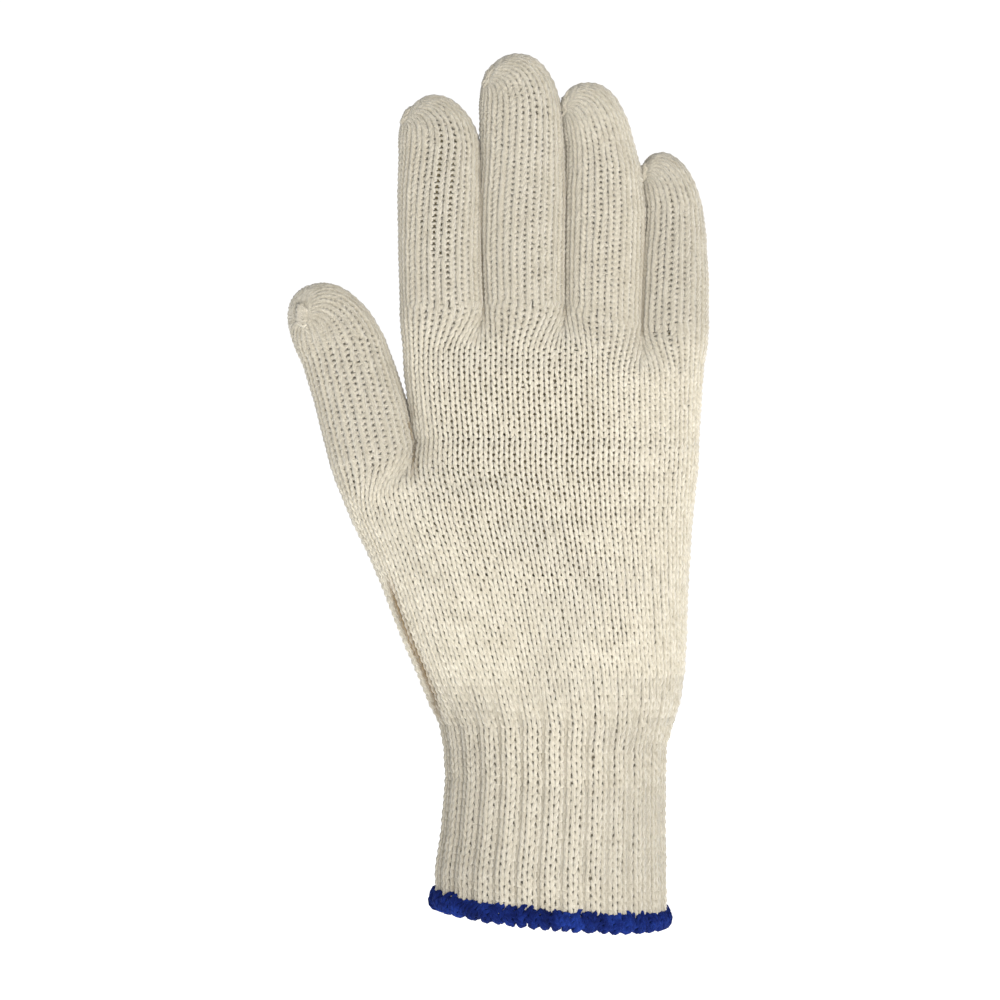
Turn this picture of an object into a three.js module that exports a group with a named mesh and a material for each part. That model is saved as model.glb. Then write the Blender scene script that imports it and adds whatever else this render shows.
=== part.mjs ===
// A seamless knitted work glove in its worn form, as a three.js scene graph.
// Millimetres. +Z runs from the wrist to the fingertips, +X to the little finger, and -Y is the back of the hand.
// The origin is the centre of the wrist opening, where the hand goes in.
// The wall is hollow everywhere: five fingers open into the palm, the palm into the ribbed cuff,
// and a thick overedge thread is wrapped round the cuff's raw edge.
import * as THREE from 'three';

// Driving sizes
const WALL = 2.3; // thickness of the knitted wall
const SEAM_GAP = 0.3; // clearance between one knitted section and the next
const FINGER_GAP = 0.2; // each finger stands back this far from the line it shares with its neighbour
const FINGER_DEPTH = 0.86; // depth of a finger over its width
const POINTS_PER_LOBE = 6; // outline points on the front of each finger's share of the hand
const PALM_SQUARENESS = 2.35; // exponent of the palm's oval
const CUFF_SQUARENESS = 2.15; // exponent of the cuff's oval
const FINGER_CURL = 3.6; // the fingertips bend this far towards the palm side
const THUMB_SET_BACK = 6; // the thumb's tip lies this far towards the palm side
const KNUCKLE_BLEND = 15; // length over which the furrows between the fingers fade into the palm
const THUMB_BLEND = 17; // the same for the furrow below the thumb

// Fingers: outline rows from the root upwards, then a rounded cap between the shoulder and the top.
// The root line may slope, so it has a height on each side.
const FINGERS = [
  {
    name: 'index_finger', rootLeft: 179.5, rootRight: 180.0,
    rows: [
      { z: 179.5, left: -43.9, right: -19.4 },
      { z: 195.8, left: -44.4, right: -20.2 },
      { z: 213.2, left: -44.7, right: -20.3 },
      { z: 224.8, left: -44.4, right: -20.5 },
    ],
    top: 241.4, topX: -33.9, roundness: 2.0,
  },
  {
    name: 'middle_finger', rootLeft: 180.0, rootRight: 180.1,
    rows: [
      { z: 180.1, left: -19.4, right: 4.1 },
      { z: 195.8, left: -20.2, right: 4.1 },
      { z: 213.2, left: -20.3, right: 4.2 },
      { z: 224.8, left: -20.5, right: 4.0 },
      { z: 233.5, left: -20.6, right: 3.2 },
    ],
    top: 253.3, topX: -9.9, roundness: 2.3,
  },
  {
    name: 'ring_finger', rootLeft: 180.1, rootRight: 173.4,
    rows: [
      { z: 176.6, left: 4.1, right: 26.1 },
      { z: 195.8, left: 4.1, right: 26.8 },
      { z: 206.5, left: 4.2, right: 27.4 },
      { z: 219.5, left: 4.2, right: 26.0 },
      { z: 226.2, left: 4.1, right: 24.1 },
    ],
    top: 244.9, topX: 10.4, roundness: 2.6,
  },
  {
    name: 'little_finger', rootLeft: 173.4, rootRight: 175.6,
    rows: [
      { z: 174.0, left: 26.1, right: 45.8 },
      { z: 187.1, left: 26.8, right: 45.8 },
      { z: 200.1, left: 27.3, right: 45.1 },
      { z: 208.8, left: 27.4, right: 44.1 },
    ],
    top: 224.5, topX: 31.9, roundness: 2.4,
  },
];

// The thumb has its own leaning axis: z is the distance along it, and left and right lie across it.
const THUMB = {
  name: 'thumb', rootLeft: 0, rootRight: 0, rootX: -52.1, rootZ: 137.5, lean: 18.7,
  rows: [
    { z: 0, left: -12.7, right: 12.7 },
    { z: 10.4, left: -12.0, right: 14.1 },
    { z: 19.4, left: -11.3, right: 14.2 },
    { z: 30.5, left: -11.0, right: 13.9 },
  ],
  top: 51.8, topX: -1.6, roundness: 2.4,
};

// The hand above the thumb's root: height, outer edges and depth.
const KNUCKLE_ROWS = [
  { z: 180.1, left: -43.9, right: 45.8, depth: 21.5 },
  { z: 169.7, left: -43.2, right: 45.2, depth: 25.0 },
  { z: 161.0, left: -42.8, right: 44.4, depth: 26.5 },
  { z: 152.3, left: -41.8, right: 43.8, depth: 28.0 },
  { z: 141.5, left: -40.2, right: 43.1, depth: 29.5 },
];

// The hand below it, with the base of the thumb.
const PALM_ROWS = [
  { z: 141.5, left: -66.4, right: 43.1, depth: 30.0 },
  { z: 133.4, left: -64.1, right: 42.6, depth: 31.0 },
  { z: 126.2, left: -61.2, right: 42.1, depth: 32.0 },
  { z: 117.5, left: -58.0, right: 41.2, depth: 33.0 },
  { z: 108.8, left: -53.7, right: 40.6, depth: 34.0 },
  { z: 100.1, left: -49.9, right: 40.0, depth: 35.0 },
  { z: 82.7, left: -43.2, right: 39.4, depth: 36.0 },
  { z: 74.0, left: -39.4, right: 38.9, depth: 37.0 },
  { z: 65.3, left: -36.0, right: 37.7, depth: 38.0 },
  { z: 58.9, left: -32.8, right: 35.8, depth: 38.5 },
];

const CUFF_ROWS = [
  { z: 58.9, left: -32.8, right: 35.8, depth: 38.5 },
  { z: 52.2, left: -31.6, right: 33.9, depth: 38.5 },
  { z: 43.5, left: -31.0, right: 33.6, depth: 39.0 },
  { z: 27.6, left: -32.3, right: 33.5, depth: 40.0 },
  { z: 17.0, left: -33.9, right: 33.7, depth: 40.8 },
  { z: 0.0, left: -33.9, right: 33.9, depth: 41.0 },
];

// Where the courses of each palm part lie between its first and last line, as shares of the way down.
const KNUCKLE_COURSES = [0, 0.09, 0.22, 0.42, 0.7, 1];
const PALM_COURSES = [0, 0.05, 0.13, 0.24, 0.38, 0.53, 0.68, 0.83, 1];
const FINGER_COURSES = [0, 0.18, 0.42, 0.7, 1];
const CAP_COURSES = [0.3, 0.55, 0.76, 0.9, 0.98];

// The loose edge of the glove folds back beside the wrist, on the thumb side.
const HEEL_FOLD = { top: 104, bottom: 60, depth: 2.4, column: 1 };

// Ribbed cuff: two raised wales and one sunken one to a rib.
const RIB_COUNT = 26;
const WALES_PER_RIB = 3;
const RIB_DEPTH = 0.9;
const CUFF_COURSES = [0, 0.2, 0.45, 0.7, 0.9, 1];
const RIB_STRENGTH = [0.5, 1, 1, 1, 0.7, 0];
const CUFF_TOP = 58.6;

// Overedge thread round the cuff's lower edge, which runs lower on the little finger's side.
const EDGE_LEFT = 8.0;
const EDGE_RIGHT = 2.2;
const EDGE_FRONT_DIP = 1.2;
const HEM_POINTS = 42;
const HEM_CLEARANCE = 0.45;
const HEM_LEG = 1.2; // thickness of the thread on each side of the wall
const HEM_CLIMB = 2.7; // how far the thread reaches up the wall
const HEM_BELOW = 2.4; // how far it stands below the edge
const HEM_SCALLOP = 0.45;

const CREAM = 0xe4dcc8;
const BLUE = 0x1d3a93;

const clamp01 = (t) => Math.min(1, Math.max(0, t));
const mix = (a, b, t) => a + (b - a) * t;
const ease = (t) => clamp01(t) ** 2 * (3 - 2 * clamp01(t));

// The row of a table at a height, read between the rows on either side of it.
function rowAt(rows, z) {
  const rising = rows[rows.length - 1].z > rows[0].z;
  const low = rising ? rows : [...rows].reverse();
  let i = 0;
  while (i < low.length - 2 && z > low[i + 1].z) i += 1;
  const t = clamp01((z - low[i].z) / (low[i + 1].z - low[i].z));
  const row = {};
  for (const key of Object.keys(low[i])) row[key] = mix(low[i][key], low[i + 1][key], t);
  return row;
}

// A finger's centre, half width and half depth at a height, with the wall taken off where inset is above zero.
function fingerSection(finger, z, inset) {
  const shoulder = finger.rows[finger.rows.length - 1];
  const top = finger.top - inset;
  const body = rowAt(finger.rows, Math.min(z, shoulder.z));
  let centre = (body.left + body.right) / 2;
  let half = (body.right - body.left) / 2 - FINGER_GAP;
  const depth = half * FINGER_DEPTH - inset;
  half -= inset;
  let shrink = 1;
  if (z > shoulder.z) {
    const climb = clamp01((z - shoulder.z) / (top - shoulder.z));
    shrink = (1 - climb ** finger.roundness) ** (1 / finger.roundness);
    centre = mix(centre, finger.topX, climb);
  }
  return { centre, half: half * shrink, depth: depth * shrink };
}

function bend(finger, z) {
  const along = clamp01((z - finger.rootRight) / (finger.top - finger.rootRight));
  return finger === THUMB ? THUMB_SET_BACK * along : FINGER_CURL * along ** 2;
}

// A point on a finger. The share runs from its left edge to its right edge, and side is -1 in front and 1 behind.
function fingerPoint(finger, z, share, side, inset) {
  const { centre, half, depth } = fingerSection(finger, z, inset);
  const angle = Math.PI * share;
  const x = centre - half * Math.cos(angle);
  const y = bend(finger, z) + side * depth * Math.sin(angle);
  if (finger !== THUMB) return new THREE.Vector3(x, y, z);
  const lean = THREE.MathUtils.degToRad(THUMB.lean);
  return new THREE.Vector3(
    THUMB.rootX + x * Math.cos(lean) - z * Math.sin(lean),
    y,
    THUMB.rootZ + z * Math.cos(lean) + x * Math.sin(lean),
  );
}

// A point on a rounded oval whose share of the way round one side is measured along the outline.
function ovalPoint(row, squareness, share, side, inset) {
  const half = (row.right - row.left) / 2 - inset;
  const depth = row.depth / 2 - inset;
  const centre = (row.left + row.right) / 2;
  const steps = 60;
  const outline = [];
  let length = 0;
  for (let i = 0; i <= steps; i += 1) {
    const angle = (Math.PI * i) / steps;
    const c = Math.cos(angle);
    const x = -half * Math.sign(c) * Math.abs(c) ** (2 / squareness);
    const y = depth * Math.abs(Math.sin(angle)) ** (2 / squareness);
    if (i > 0) length += Math.hypot(x - outline[i - 1].x, y - outline[i - 1].y);
    outline.push({ x, y, length });
  }
  let i = 1;
  while (i < steps && outline[i].length < share * length) i += 1;
  const a = outline[i - 1];
  const b = outline[i];
  const t = (share * length - a.length) / (b.length - a.length);
  return new THREE.Vector3(centre + mix(a.x, b.x, t), side * mix(a.y, b.y, t), row.z);
}

// Height of the line where a finger leaves the hand, at a share of its width.
const rootHeight = (finger, share) =>
  mix(finger.rootLeft, finger.rootRight, (1 - Math.cos(Math.PI * share)) / 2);

const pointShare = (i) => (i + 0.5) / POINTS_PER_LOBE;

// Front and back points of one finger's share of the hand.
function lobe(pointAt) {
  const sides = { front: [], back: [] };
  for (let i = 0; i < POINTS_PER_LOBE; i += 1) {
    sides.front.push(pointAt(i, -1));
    sides.back.push(pointAt(i, 1));
  }
  return sides;
}

// One course of the hand above the thumb: four lobes that melt into one oval further down.
function knuckleCourse(down, inset) {
  const last = KNUCKLE_ROWS[KNUCKLE_ROWS.length - 1].z;
  return FINGERS.map((finger, k) => lobe((i, side) => {
    const root = rootHeight(finger, pointShare(i));
    const z = mix(root, last, down);
    const apart = fingerPoint(finger, Math.max(z, root - KNUCKLE_BLEND), pointShare(i), side, inset);
    apart.z = z;
    const share = (k + pointShare(i)) / FINGERS.length;
    const joined = ovalPoint({ ...rowAt(KNUCKLE_ROWS, z), z }, PALM_SQUARENESS, share, side, inset);
    return apart.lerp(joined, ease((root - z) / KNUCKLE_BLEND));
  }));
}

// One course below the thumb's root: the thumb's lobe and the four others, melting into one oval.
function palmCourse(down, inset) {
  const lobes = FINGERS.length + 1;
  const last = PALM_ROWS[PALM_ROWS.length - 1].z;
  const hand = knuckleCourse(1, inset);
  const thumb = lobe((i, side) => fingerPoint(THUMB, 0, pointShare(i), side, inset));
  return [thumb, ...hand].map((start, k) => lobe((i, side) => {
    const apart = (side < 0 ? start.front : start.back)[i].clone();
    const z = mix(apart.z, last, down);
    const fallen = apart.z - z;
    if (k === 0) apart.x += fallen * Math.tan(THREE.MathUtils.degToRad(THUMB.lean));
    apart.z = z;
    const share = (k + pointShare(i)) / lobes;
    const joined = ovalPoint({ ...rowAt(PALM_ROWS, z), z }, PALM_SQUARENESS, share, side, inset);
    const point = apart.lerp(joined, ease(fallen / THUMB_BLEND));
    if (k === 0 && side < 0 && i === HEEL_FOLD.column && z < HEEL_FOLD.top) {
      const strength = ease((HEEL_FOLD.top - z) / 20) * ease((z - HEEL_FOLD.bottom) / 12);
      point.y += HEEL_FOLD.depth * strength;
    }
    return point;
  }));
}

const closedRing = (lobes) => [
  ...lobes.flatMap((part) => part.front),
  ...[...lobes].reverse().flatMap((part) => [...part.back].reverse()),
];

// Collects triangles. Outer surfaces are added as they are, and inner ones turned round.
class Surface {
  constructor() {
    this.points = [];
    this.ids = new Map();
    this.faces = [];
  }

  id(point) {
    if (!this.ids.has(point)) {
      this.ids.set(point, this.points.length);
      this.points.push(point);
    }
    return this.ids.get(point);
  }

  triangle(a, b, c) {
    this.faces.push(this.id(a), this.id(b), this.id(c));
  }

  quad(a, b, c, d) {
    this.triangle(a, b, c);
    this.triangle(a, c, d);
  }

  // The strip between a ring and the ring below it, both running left to right along the front.
  strip(upper, lower, inwards = false) {
    for (let i = 0; i < upper.length; i += 1) {
      const j = (i + 1) % upper.length;
      if (inwards) this.quad(upper[i], upper[j], lower[j], lower[i]);
      else this.quad(upper[i], lower[i], lower[j], upper[j]);
    }
  }

  fan(apex, ring, inwards = false) {
    for (let i = 0; i < ring.length; i += 1) {
      const j = (i + 1) % ring.length;
      if (inwards) this.triangle(apex, ring[j], ring[i]);
      else this.triangle(apex, ring[i], ring[j]);
    }
  }

  // The saddle between two lobes, where one finger's wall runs into the next.
  saddle(left, right, inwards = false) {
    const last = left.front.length - 1;
    const corners = [left.front[last], right.front[0], right.back[0], left.back[last]];
    if (inwards) corners.reverse();
    this.quad(...corners);
  }

  geometry() {
    const geometry = new THREE.BufferGeometry();
    const flat = this.points.flatMap((p) => [p.x, p.y, p.z]);
    geometry.setAttribute('position', new THREE.Float32BufferAttribute(flat, 3));
    geometry.setIndex(this.faces);
    geometry.computeVertexNormals();
    return geometry;
  }
}

// A knitted finger: a tube closed at its tip and open at its root.
function fingerGeometry(finger) {
  const surface = new Surface();
  const shoulder = finger.rows[finger.rows.length - 1].z;
  const rootGap = SEAM_GAP;
  const skins = [0, WALL].map((inset) => {
    const top = finger.top - inset;
    const heights = [
      ...FINGER_COURSES.map((t) => (share) => mix(rootHeight(finger, share) + rootGap, shoulder, t)),
      ...CAP_COURSES.map((t) => () => mix(shoulder, top, t)),
    ];
    const rings = heights.map((height) => closedRing([
      lobe((i, side) => fingerPoint(finger, height(pointShare(i)), pointShare(i), side, inset)),
    ]));
    const apex = fingerPoint(finger, top, 0.5, -1, inset);
    return { rings, apex };
  });
  skins.forEach(({ rings, apex }, k) => {
    const inwards = k === 1;
    for (let i = 1; i < rings.length; i += 1) surface.strip(rings[i], rings[i - 1], inwards);
    surface.fan(apex, rings[rings.length - 1], inwards);
  });
  surface.strip(skins[0].rings[0], skins[1].rings[0]);
  return surface.geometry();
}

// The palm: open to the four fingers, the thumb and the cuff.
function palmGeometry() {
  const surface = new Surface();
  const skins = [0, WALL].map((inset, k) => {
    const inwards = k === 1;
    const joinedFrom = k; // the inner hollows run together one course lower than the outer skin
    const knuckles = KNUCKLE_COURSES.map((t) => knuckleCourse(t, inset));
    const palm = PALM_COURSES.map((t) => palmCourse(t, inset));
    palm[0] = [palm[0][0], ...knuckles[knuckles.length - 1]];
    for (let row = 0; row < knuckles.length - 1; row += 1) {
      if (row < joinedFrom) {
        knuckles[row].forEach((part, n) =>
          surface.strip(closedRing([part]), closedRing([knuckles[row + 1][n]]), inwards));
      } else {
        surface.strip(closedRing(knuckles[row]), closedRing(knuckles[row + 1]), inwards);
      }
    }
    for (let n = 1; n < FINGERS.length; n += 1) {
      surface.saddle(knuckles[joinedFrom][n - 1], knuckles[joinedFrom][n], inwards);
    }
    for (let row = 0; row < palm.length - 1; row += 1) {
      if (row < joinedFrom) {
        surface.strip(closedRing([palm[row][0]]), closedRing([palm[row + 1][0]]), inwards);
        surface.strip(closedRing(palm[row].slice(1)), closedRing(palm[row + 1].slice(1)), inwards);
      } else {
        surface.strip(closedRing(palm[row]), closedRing(palm[row + 1]), inwards);
      }
    }
    surface.saddle(palm[joinedFrom][0], palm[joinedFrom][1], inwards);
    return { roots: [...knuckles[0], palm[0][0]], wrist: palm[palm.length - 1] };
  });
  skins[0].roots.forEach((root, n) =>
    surface.strip(closedRing([skins[1].roots[n]]), closedRing([root])));
  surface.strip(closedRing(skins[0].wrist), closedRing(skins[1].wrist));
  return surface.geometry();
}

// Height of the cuff's raw edge at a point across its width.
function edgeHeight(x, y) {
  const across = (x + 33.9) / 67.8;
  const front = clamp01(-y / 20.5);
  return mix(EDGE_LEFT, EDGE_RIGHT, across) - EDGE_FRONT_DIP * front ** 2;
}

// A point on the cuff, at a share of the way round, moved out from the middle of the wall.
function cuffPoint(share, z, out) {
  const side = share < 0.5 ? -1 : 1;
  const along = share < 0.5 ? share * 2 : 2 - share * 2;
  return ovalPoint({ ...rowAt(CUFF_ROWS, z), z }, CUFF_SQUARENESS, along, side, WALL / 2 - out);
}

function cuffGeometry() {
  const surface = new Surface();
  const count = RIB_COUNT * WALES_PER_RIB;
  const skins = [WALL / 2, -WALL / 2].map((face) => CUFF_COURSES.map((t, row) => {
    const ring = [];
    for (let i = 0; i < count; i += 1) {
      const share = (i + 0.5) / count;
      const sunken = i % WALES_PER_RIB === WALES_PER_RIB - 1;
      const rib = sunken ? -RIB_DEPTH * RIB_STRENGTH[row] : 0;
      const plain = cuffPoint(share, CUFF_TOP, face);
      const z = mix(CUFF_TOP, edgeHeight(plain.x, plain.y), t);
      ring.push(cuffPoint(share, z, face + rib));
    }
    return ring;
  }));
  skins.forEach((rings, k) => {
    for (let i = 1; i < rings.length; i += 1) surface.strip(rings[i - 1], rings[i], k === 1);
  });
  const [outer, inner] = skins;
  surface.strip(inner[0], outer[0]);
  surface.strip(outer[outer.length - 1], inner[inner.length - 1]);
  return surface.geometry();
}

// The overedge thread: a channel that wraps the raw edge, with a scalloped outline.
function hemGeometry() {
  const surface = new Surface();
  const inner = WALL / 2 + HEM_CLEARANCE;
  const outer = inner + HEM_LEG;
  const rings = [];
  for (let i = 0; i < HEM_POINTS; i += 1) {
    const share = (i + 0.5) / HEM_POINTS;
    const wave = HEM_SCALLOP * Math.cos(i * 2.4);
    const bulge = HEM_SCALLOP * Math.cos(i * 2.4 + 1.9);
    // Distance out from the middle of the wall, and height above its edge.
    const profile = [
      { out: inner, up: HEM_CLIMB + wave },
      { out: outer, up: HEM_CLIMB - 0.3 + wave },
      { out: outer + 0.5 + bulge / 2, up: 0.1 },
      { out: outer - 0.5, up: -HEM_BELOW - bulge },
      { out: -outer + 0.7, up: -HEM_BELOW - bulge },
      { out: -outer, up: -0.4 },
      { out: -outer, up: HEM_CLIMB - 0.9 - wave },
      { out: -inner, up: HEM_CLIMB - 0.7 - wave },
      { out: -inner, up: -HEM_CLEARANCE },
      { out: inner, up: -HEM_CLEARANCE },
    ];
    const middle = cuffPoint(share, 4, 0);
    const edge = edgeHeight(middle.x, middle.y);
    rings.push(profile.map(({ out, up }) => {
      const point = cuffPoint(share, 4, out);
      point.z = edge + up;
      return point;
    }));
  }
  for (let i = 0; i < HEM_POINTS; i += 1) surface.strip(rings[i], rings[(i + 1) % HEM_POINTS], true);
  return surface.geometry();
}

function knitMaterial() {
  return new THREE.MeshStandardMaterial({ color: CREAM, roughness: 0.95, metalness: 0 });
}

function threadMaterial() {
  return new THREE.MeshStandardMaterial({ color: BLUE, roughness: 0.8, metalness: 0 });
}

function named(name, geometry, material) {
  const mesh = new THREE.Mesh(geometry, material);
  mesh.name = name;
  return mesh;
}

const glove = new THREE.Group();
glove.name = 'knit_glove';
for (const finger of [...FINGERS, THUMB]) {
  glove.add(named(finger.name, fingerGeometry(finger), knitMaterial()));
}
glove.add(named('palm', palmGeometry(), knitMaterial()));
glove.add(named('cuff', cuffGeometry(), knitMaterial()));
glove.add(named('hem', hemGeometry(), threadMaterial()));

export default glove;
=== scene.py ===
"""A seamless knitted work glove in cream yarn, with a ribbed cuff and a blue overedge thread round its hem.

The hand's form is a set of smooth functions of wale (stitch column) and course (stitch row). Each knitted
section lays its courses on that form as lines, and one Geometry Nodes tree bends them into loops of yarn.
"""

import logging
import math
from collections.abc import Callable
from dataclasses import dataclass, field
from enum import Enum

import bmesh
import bpy
import numpy as np
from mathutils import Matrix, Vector


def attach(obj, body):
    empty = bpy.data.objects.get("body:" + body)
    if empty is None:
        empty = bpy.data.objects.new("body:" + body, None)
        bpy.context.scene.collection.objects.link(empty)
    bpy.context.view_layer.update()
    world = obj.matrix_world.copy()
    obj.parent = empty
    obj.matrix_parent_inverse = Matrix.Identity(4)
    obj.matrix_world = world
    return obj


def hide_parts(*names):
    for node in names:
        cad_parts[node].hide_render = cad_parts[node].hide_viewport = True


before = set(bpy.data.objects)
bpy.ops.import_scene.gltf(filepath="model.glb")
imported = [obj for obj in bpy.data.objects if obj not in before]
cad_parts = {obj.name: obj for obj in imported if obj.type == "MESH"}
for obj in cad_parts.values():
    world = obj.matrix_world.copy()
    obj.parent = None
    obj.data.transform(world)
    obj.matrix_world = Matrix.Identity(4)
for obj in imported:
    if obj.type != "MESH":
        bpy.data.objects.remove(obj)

log = logging.getLogger("glove")

MM = 0.001
BODY = "root"
Array = np.ndarray
Colour = tuple[float, float, float]
Surface = Callable[[Array, Array, float], Array]
WHITE = (1.0, 1.0, 1.0)
OVAL_POINTS = 181
RIB_PERIOD = 3
LINE_ATTRIBUTES = ("across", "down", "out", "turn", "swell", "gap", "slope", "wrap", "lump")
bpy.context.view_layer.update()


class Slot(Enum):
    """The record's material slots."""

    KNIT = "cream_knit"
    RIB = "cream_rib"
    THREAD = "blue_thread"


def ease(t: Array) -> Array:
    """Smooth step from 0 to 1."""
    t = np.clip(t, 0.0, 1.0)
    return t * t * (3.0 - 2.0 * t)


def mix(a: Array, b: Array, t: Array) -> Array:
    """The value a share t of the way from a to b."""
    return a + (b - a) * t


def bell(t: Array) -> Array:
    """A smooth hump: 1 at 0, and less than 0.4 beyond 1 on both sides."""
    return np.exp(-t ** 2)


def unit(vector: Array) -> Array:
    """The vector at length 1."""
    return vector / np.linalg.norm(vector)


def front_or_back(around: Array) -> tuple[Array, Array]:
    """The share across the front or the back, and -1 in front or 1 behind, at a share of the way round."""
    around = around % 1.0
    return np.where(around < 0.5, around * 2, 2 - around * 2), np.where(around < 0.5, -1.0, 1.0)


def placed(name: str, data: bpy.types.ID) -> bpy.types.Object:
    """Makes an object at the origin and puts it into the scene."""
    made = bpy.data.objects.new(name, data)
    bpy.context.scene.collection.objects.link(made)
    return made


@dataclass(frozen=True)
class Table:
    """Rows of sizes in millimetres against height, read between the rows.

    Attributes:
        rows: One tuple for each height, lowest first: the height, then the other columns.
    """

    rows: tuple[tuple[float, ...], ...]

    def at(self, z: Array) -> list[Array]:
        """Reads every column after the height.

        Args:
            z: Heights in metres.

        Returns:
            One array in metres for each column.
        """
        heights = [row[0] * MM for row in self.rows]
        columns = list(zip(*self.rows))[1:]
        return [np.interp(z, heights, np.array(column) * MM) for column in columns]


@dataclass(frozen=True)
class Patch:
    """A soft spot on the hand, in millimetres.

    Attributes:
        centre: Its middle, across and up.
        reach: How far it reaches across and up.
        strength: Its value in the middle.
    """

    centre: tuple[float, float]
    reach: tuple[float, float]
    strength: float

    def at(self, points: Array) -> Array:
        """Its value at points in metres."""
        x, z = ((points[..., axis] / MM - self.centre[k]) / self.reach[k] for k, axis in enumerate((0, 2)))
        return self.strength * np.exp(-x ** 2 - z ** 2)


@dataclass(frozen=True)
class Fade:
    """A smooth change across the hand or up it, in millimetres.

    Attributes:
        axis: 0 for across and 2 for up.
        start: Where it begins.
        length: How far on it ends, below 0 for a change towards the thumb or downwards.
        amount: What it comes to.
    """

    axis: int
    start: float
    length: float
    amount: float

    def at(self, points: Array) -> Array:
        """Its value at points in metres."""
        return self.amount * ease((points[..., self.axis] / MM - self.start) / self.length)


@dataclass(frozen=True)
class Crease:
    """A valley pressed into the front of the hand, in millimetres.

    Attributes:
        path: Points across and up that its bottom follows, from the top down.
        depth: How deep it is.
        width: How wide its half is.
        step: How far the hand lies back on the thumb's side of it.
        shadow: How dark the painted shadow line at its bottom is, from 0 to 1.
        line: How wide half of that line is.
        ends: How far it takes to fade in at the bottom and out at the top.
        front: How thick the front is that it presses.
        shade_limit: How far behind the middle the line still shows.
    """

    path: tuple[tuple[float, float], ...]
    depth: float
    width: float
    step: float = 0.0
    shadow: float = 1.0
    line: float = 0.8
    ends: tuple[float, float] = (9.0, 10.0)
    front: float = 5.0
    shade_limit: float = 3.0

    def press(self, points: Array) -> Array:
        """Moves the points of the front inwards.

        Args:
            points: Points in metres.

        Returns:
            The moved points.
        """
        aside, strength = self.reach(points)
        valley = self.depth * bell(aside / self.width)
        shelf = self.step * ease(aside / self.width + 0.5)
        moved = points.copy()
        moved[..., 1] += (valley + shelf) * strength * ease(-points[..., 1] / (self.front * MM)) * MM
        return moved

    def shade(self, points: Array) -> Array:
        """How deep in the crease's shadow the points of the front lie, from 0 to 1."""
        aside, strength = self.reach(points)
        dark = bell(aside / self.line) * strength * self.shadow
        return np.where(points[..., 1] < self.shade_limit * MM, dark, 0.0)

    def reach(self, points: Array) -> tuple[Array, Array]:
        """Where points lie in the crease.

        Args:
            points: Points in metres.

        Returns:
            How far they lie on the thumb's side of its bottom, in millimetres, and its strength at their
            height.
        """
        path = np.array(self.path[::-1])
        x, z = points[..., 0] / MM, points[..., 2] / MM
        strength = ease((z - path[0, 1]) / self.ends[0]) * ease((path[-1, 1] - z) / self.ends[1])
        return np.interp(z, path[:, 1], path[:, 0]) - x, strength


CREASES = (
    Crease(((-47.6, 104.0), (-44.1, 92.3), (-41.8, 86.0), (-37.7, 77.0), (-33.8, 67.4), (-31.6, 58.0)),
           1.9, 1.2, 1.3),
    Crease(((-39.6, 153.0), (-39.6, 147.5), (-41.2, 145.2), (-40.6, 142.8), (-39.3, 140.6), (-39.5, 136.0),
            (-39.3, 126.5)), 2.0, 1.3, 0.0, 0.7))
# Creases between the fingers with no depth: painted shadow lines only.
FINGER_CREASES = tuple(Crease(path, 0.0, 1.0, 0.0, 0.32) for path in (
    ((-20.6, 228.0), (-20.2, 205.0), (-19.4, 172.0)), ((4.1, 230.0), (4.1, 172.0)),
    ((27.4, 213.0), (26.8, 195.8), (26.1, 166.0))))


@dataclass(frozen=True)
class Tube:
    """A knitted finger or thumb, in millimetres.

    Attributes:
        name: The CAD node that it stands for.
        root: Height of its root line on its left and on its right.
        outline: Rows of height, left edge and right edge, from the root to the shoulder.
        top: Height of its tip, and where the tip lies across.
        roundness: Exponent of the rounded cap.
        wales: Stitches round it.
        hand_wales: Stitches that the hand has below it.
        courses: Rows of stitches from the root to the tip.
        rosette: Direction from the cap's centre to the gathered start of the knitting.
        contact: Height up to which it presses on its left and on its right neighbour, 0 without one.
        slant: Stitches by which its wales drift to the right from the root to the tip.
        ladders: Wales beside which its stitches stand open, and by how much of a wale.
        opening: How open its stitches stand, as a share of what the hand's form says.
        gather: Size of the strand drawn together in its rosette, where 1 is the thumb's.
    """

    name: str
    root: tuple[float, float]
    outline: Table
    top: tuple[float, float]
    roundness: float
    wales: int
    hand_wales: int
    courses: int
    rosette: tuple[float, float, float]
    contact: tuple[float, float]
    slant: float
    ladders: tuple[tuple[float, float], ...]
    opening: float = 0.9
    gather: float = 0.6


INDEX = Tube("index_finger", (179.5, 180.0),
             Table(((179.5, -43.9, -19.4), (195.8, -44.4, -20.2), (213.2, -44.7, -20.3),
                    (224.8, -44.4, -20.5))),
             (241.4, -33.9), 2.0, 18, 16, 40, (-0.86, -0.2, 0.46), (0.0, 224.0), 1.6,
             ((3.0, 0.05), (4.0, 0.085), (5.0, 0.065), (6.0, 0.015)))
MIDDLE = Tube("middle_finger", (180.0, 180.1),
              Table(((180.1, -19.4, 4.1), (195.8, -20.2, 4.1), (213.2, -20.3, 4.2), (224.8, -20.5, 4.0),
                     (233.5, -20.6, 3.2))),
              (253.3, -9.9), 2.3, 18, 16, 47, (-0.84, -0.28, 0.47), (222.0, 224.0), 1.4,
              ((4.0, 0.015), (5.0, 0.02)))
RING = Tube("ring_finger", (180.1, 173.4),
            Table(((176.6, 4.1, 26.1), (195.8, 4.1, 26.8), (206.5, 4.2, 27.4), (219.5, 4.2, 26.0),
                   (226.2, 4.1, 24.1))),
            (244.9, 10.4), 2.6, 18, 16, 44, (-0.84, -0.3, 0.45), (224.0, 207.0), 0.8,
            ((3.0, 0.015), (4.0, 0.03), (5.0, 0.03)))
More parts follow.
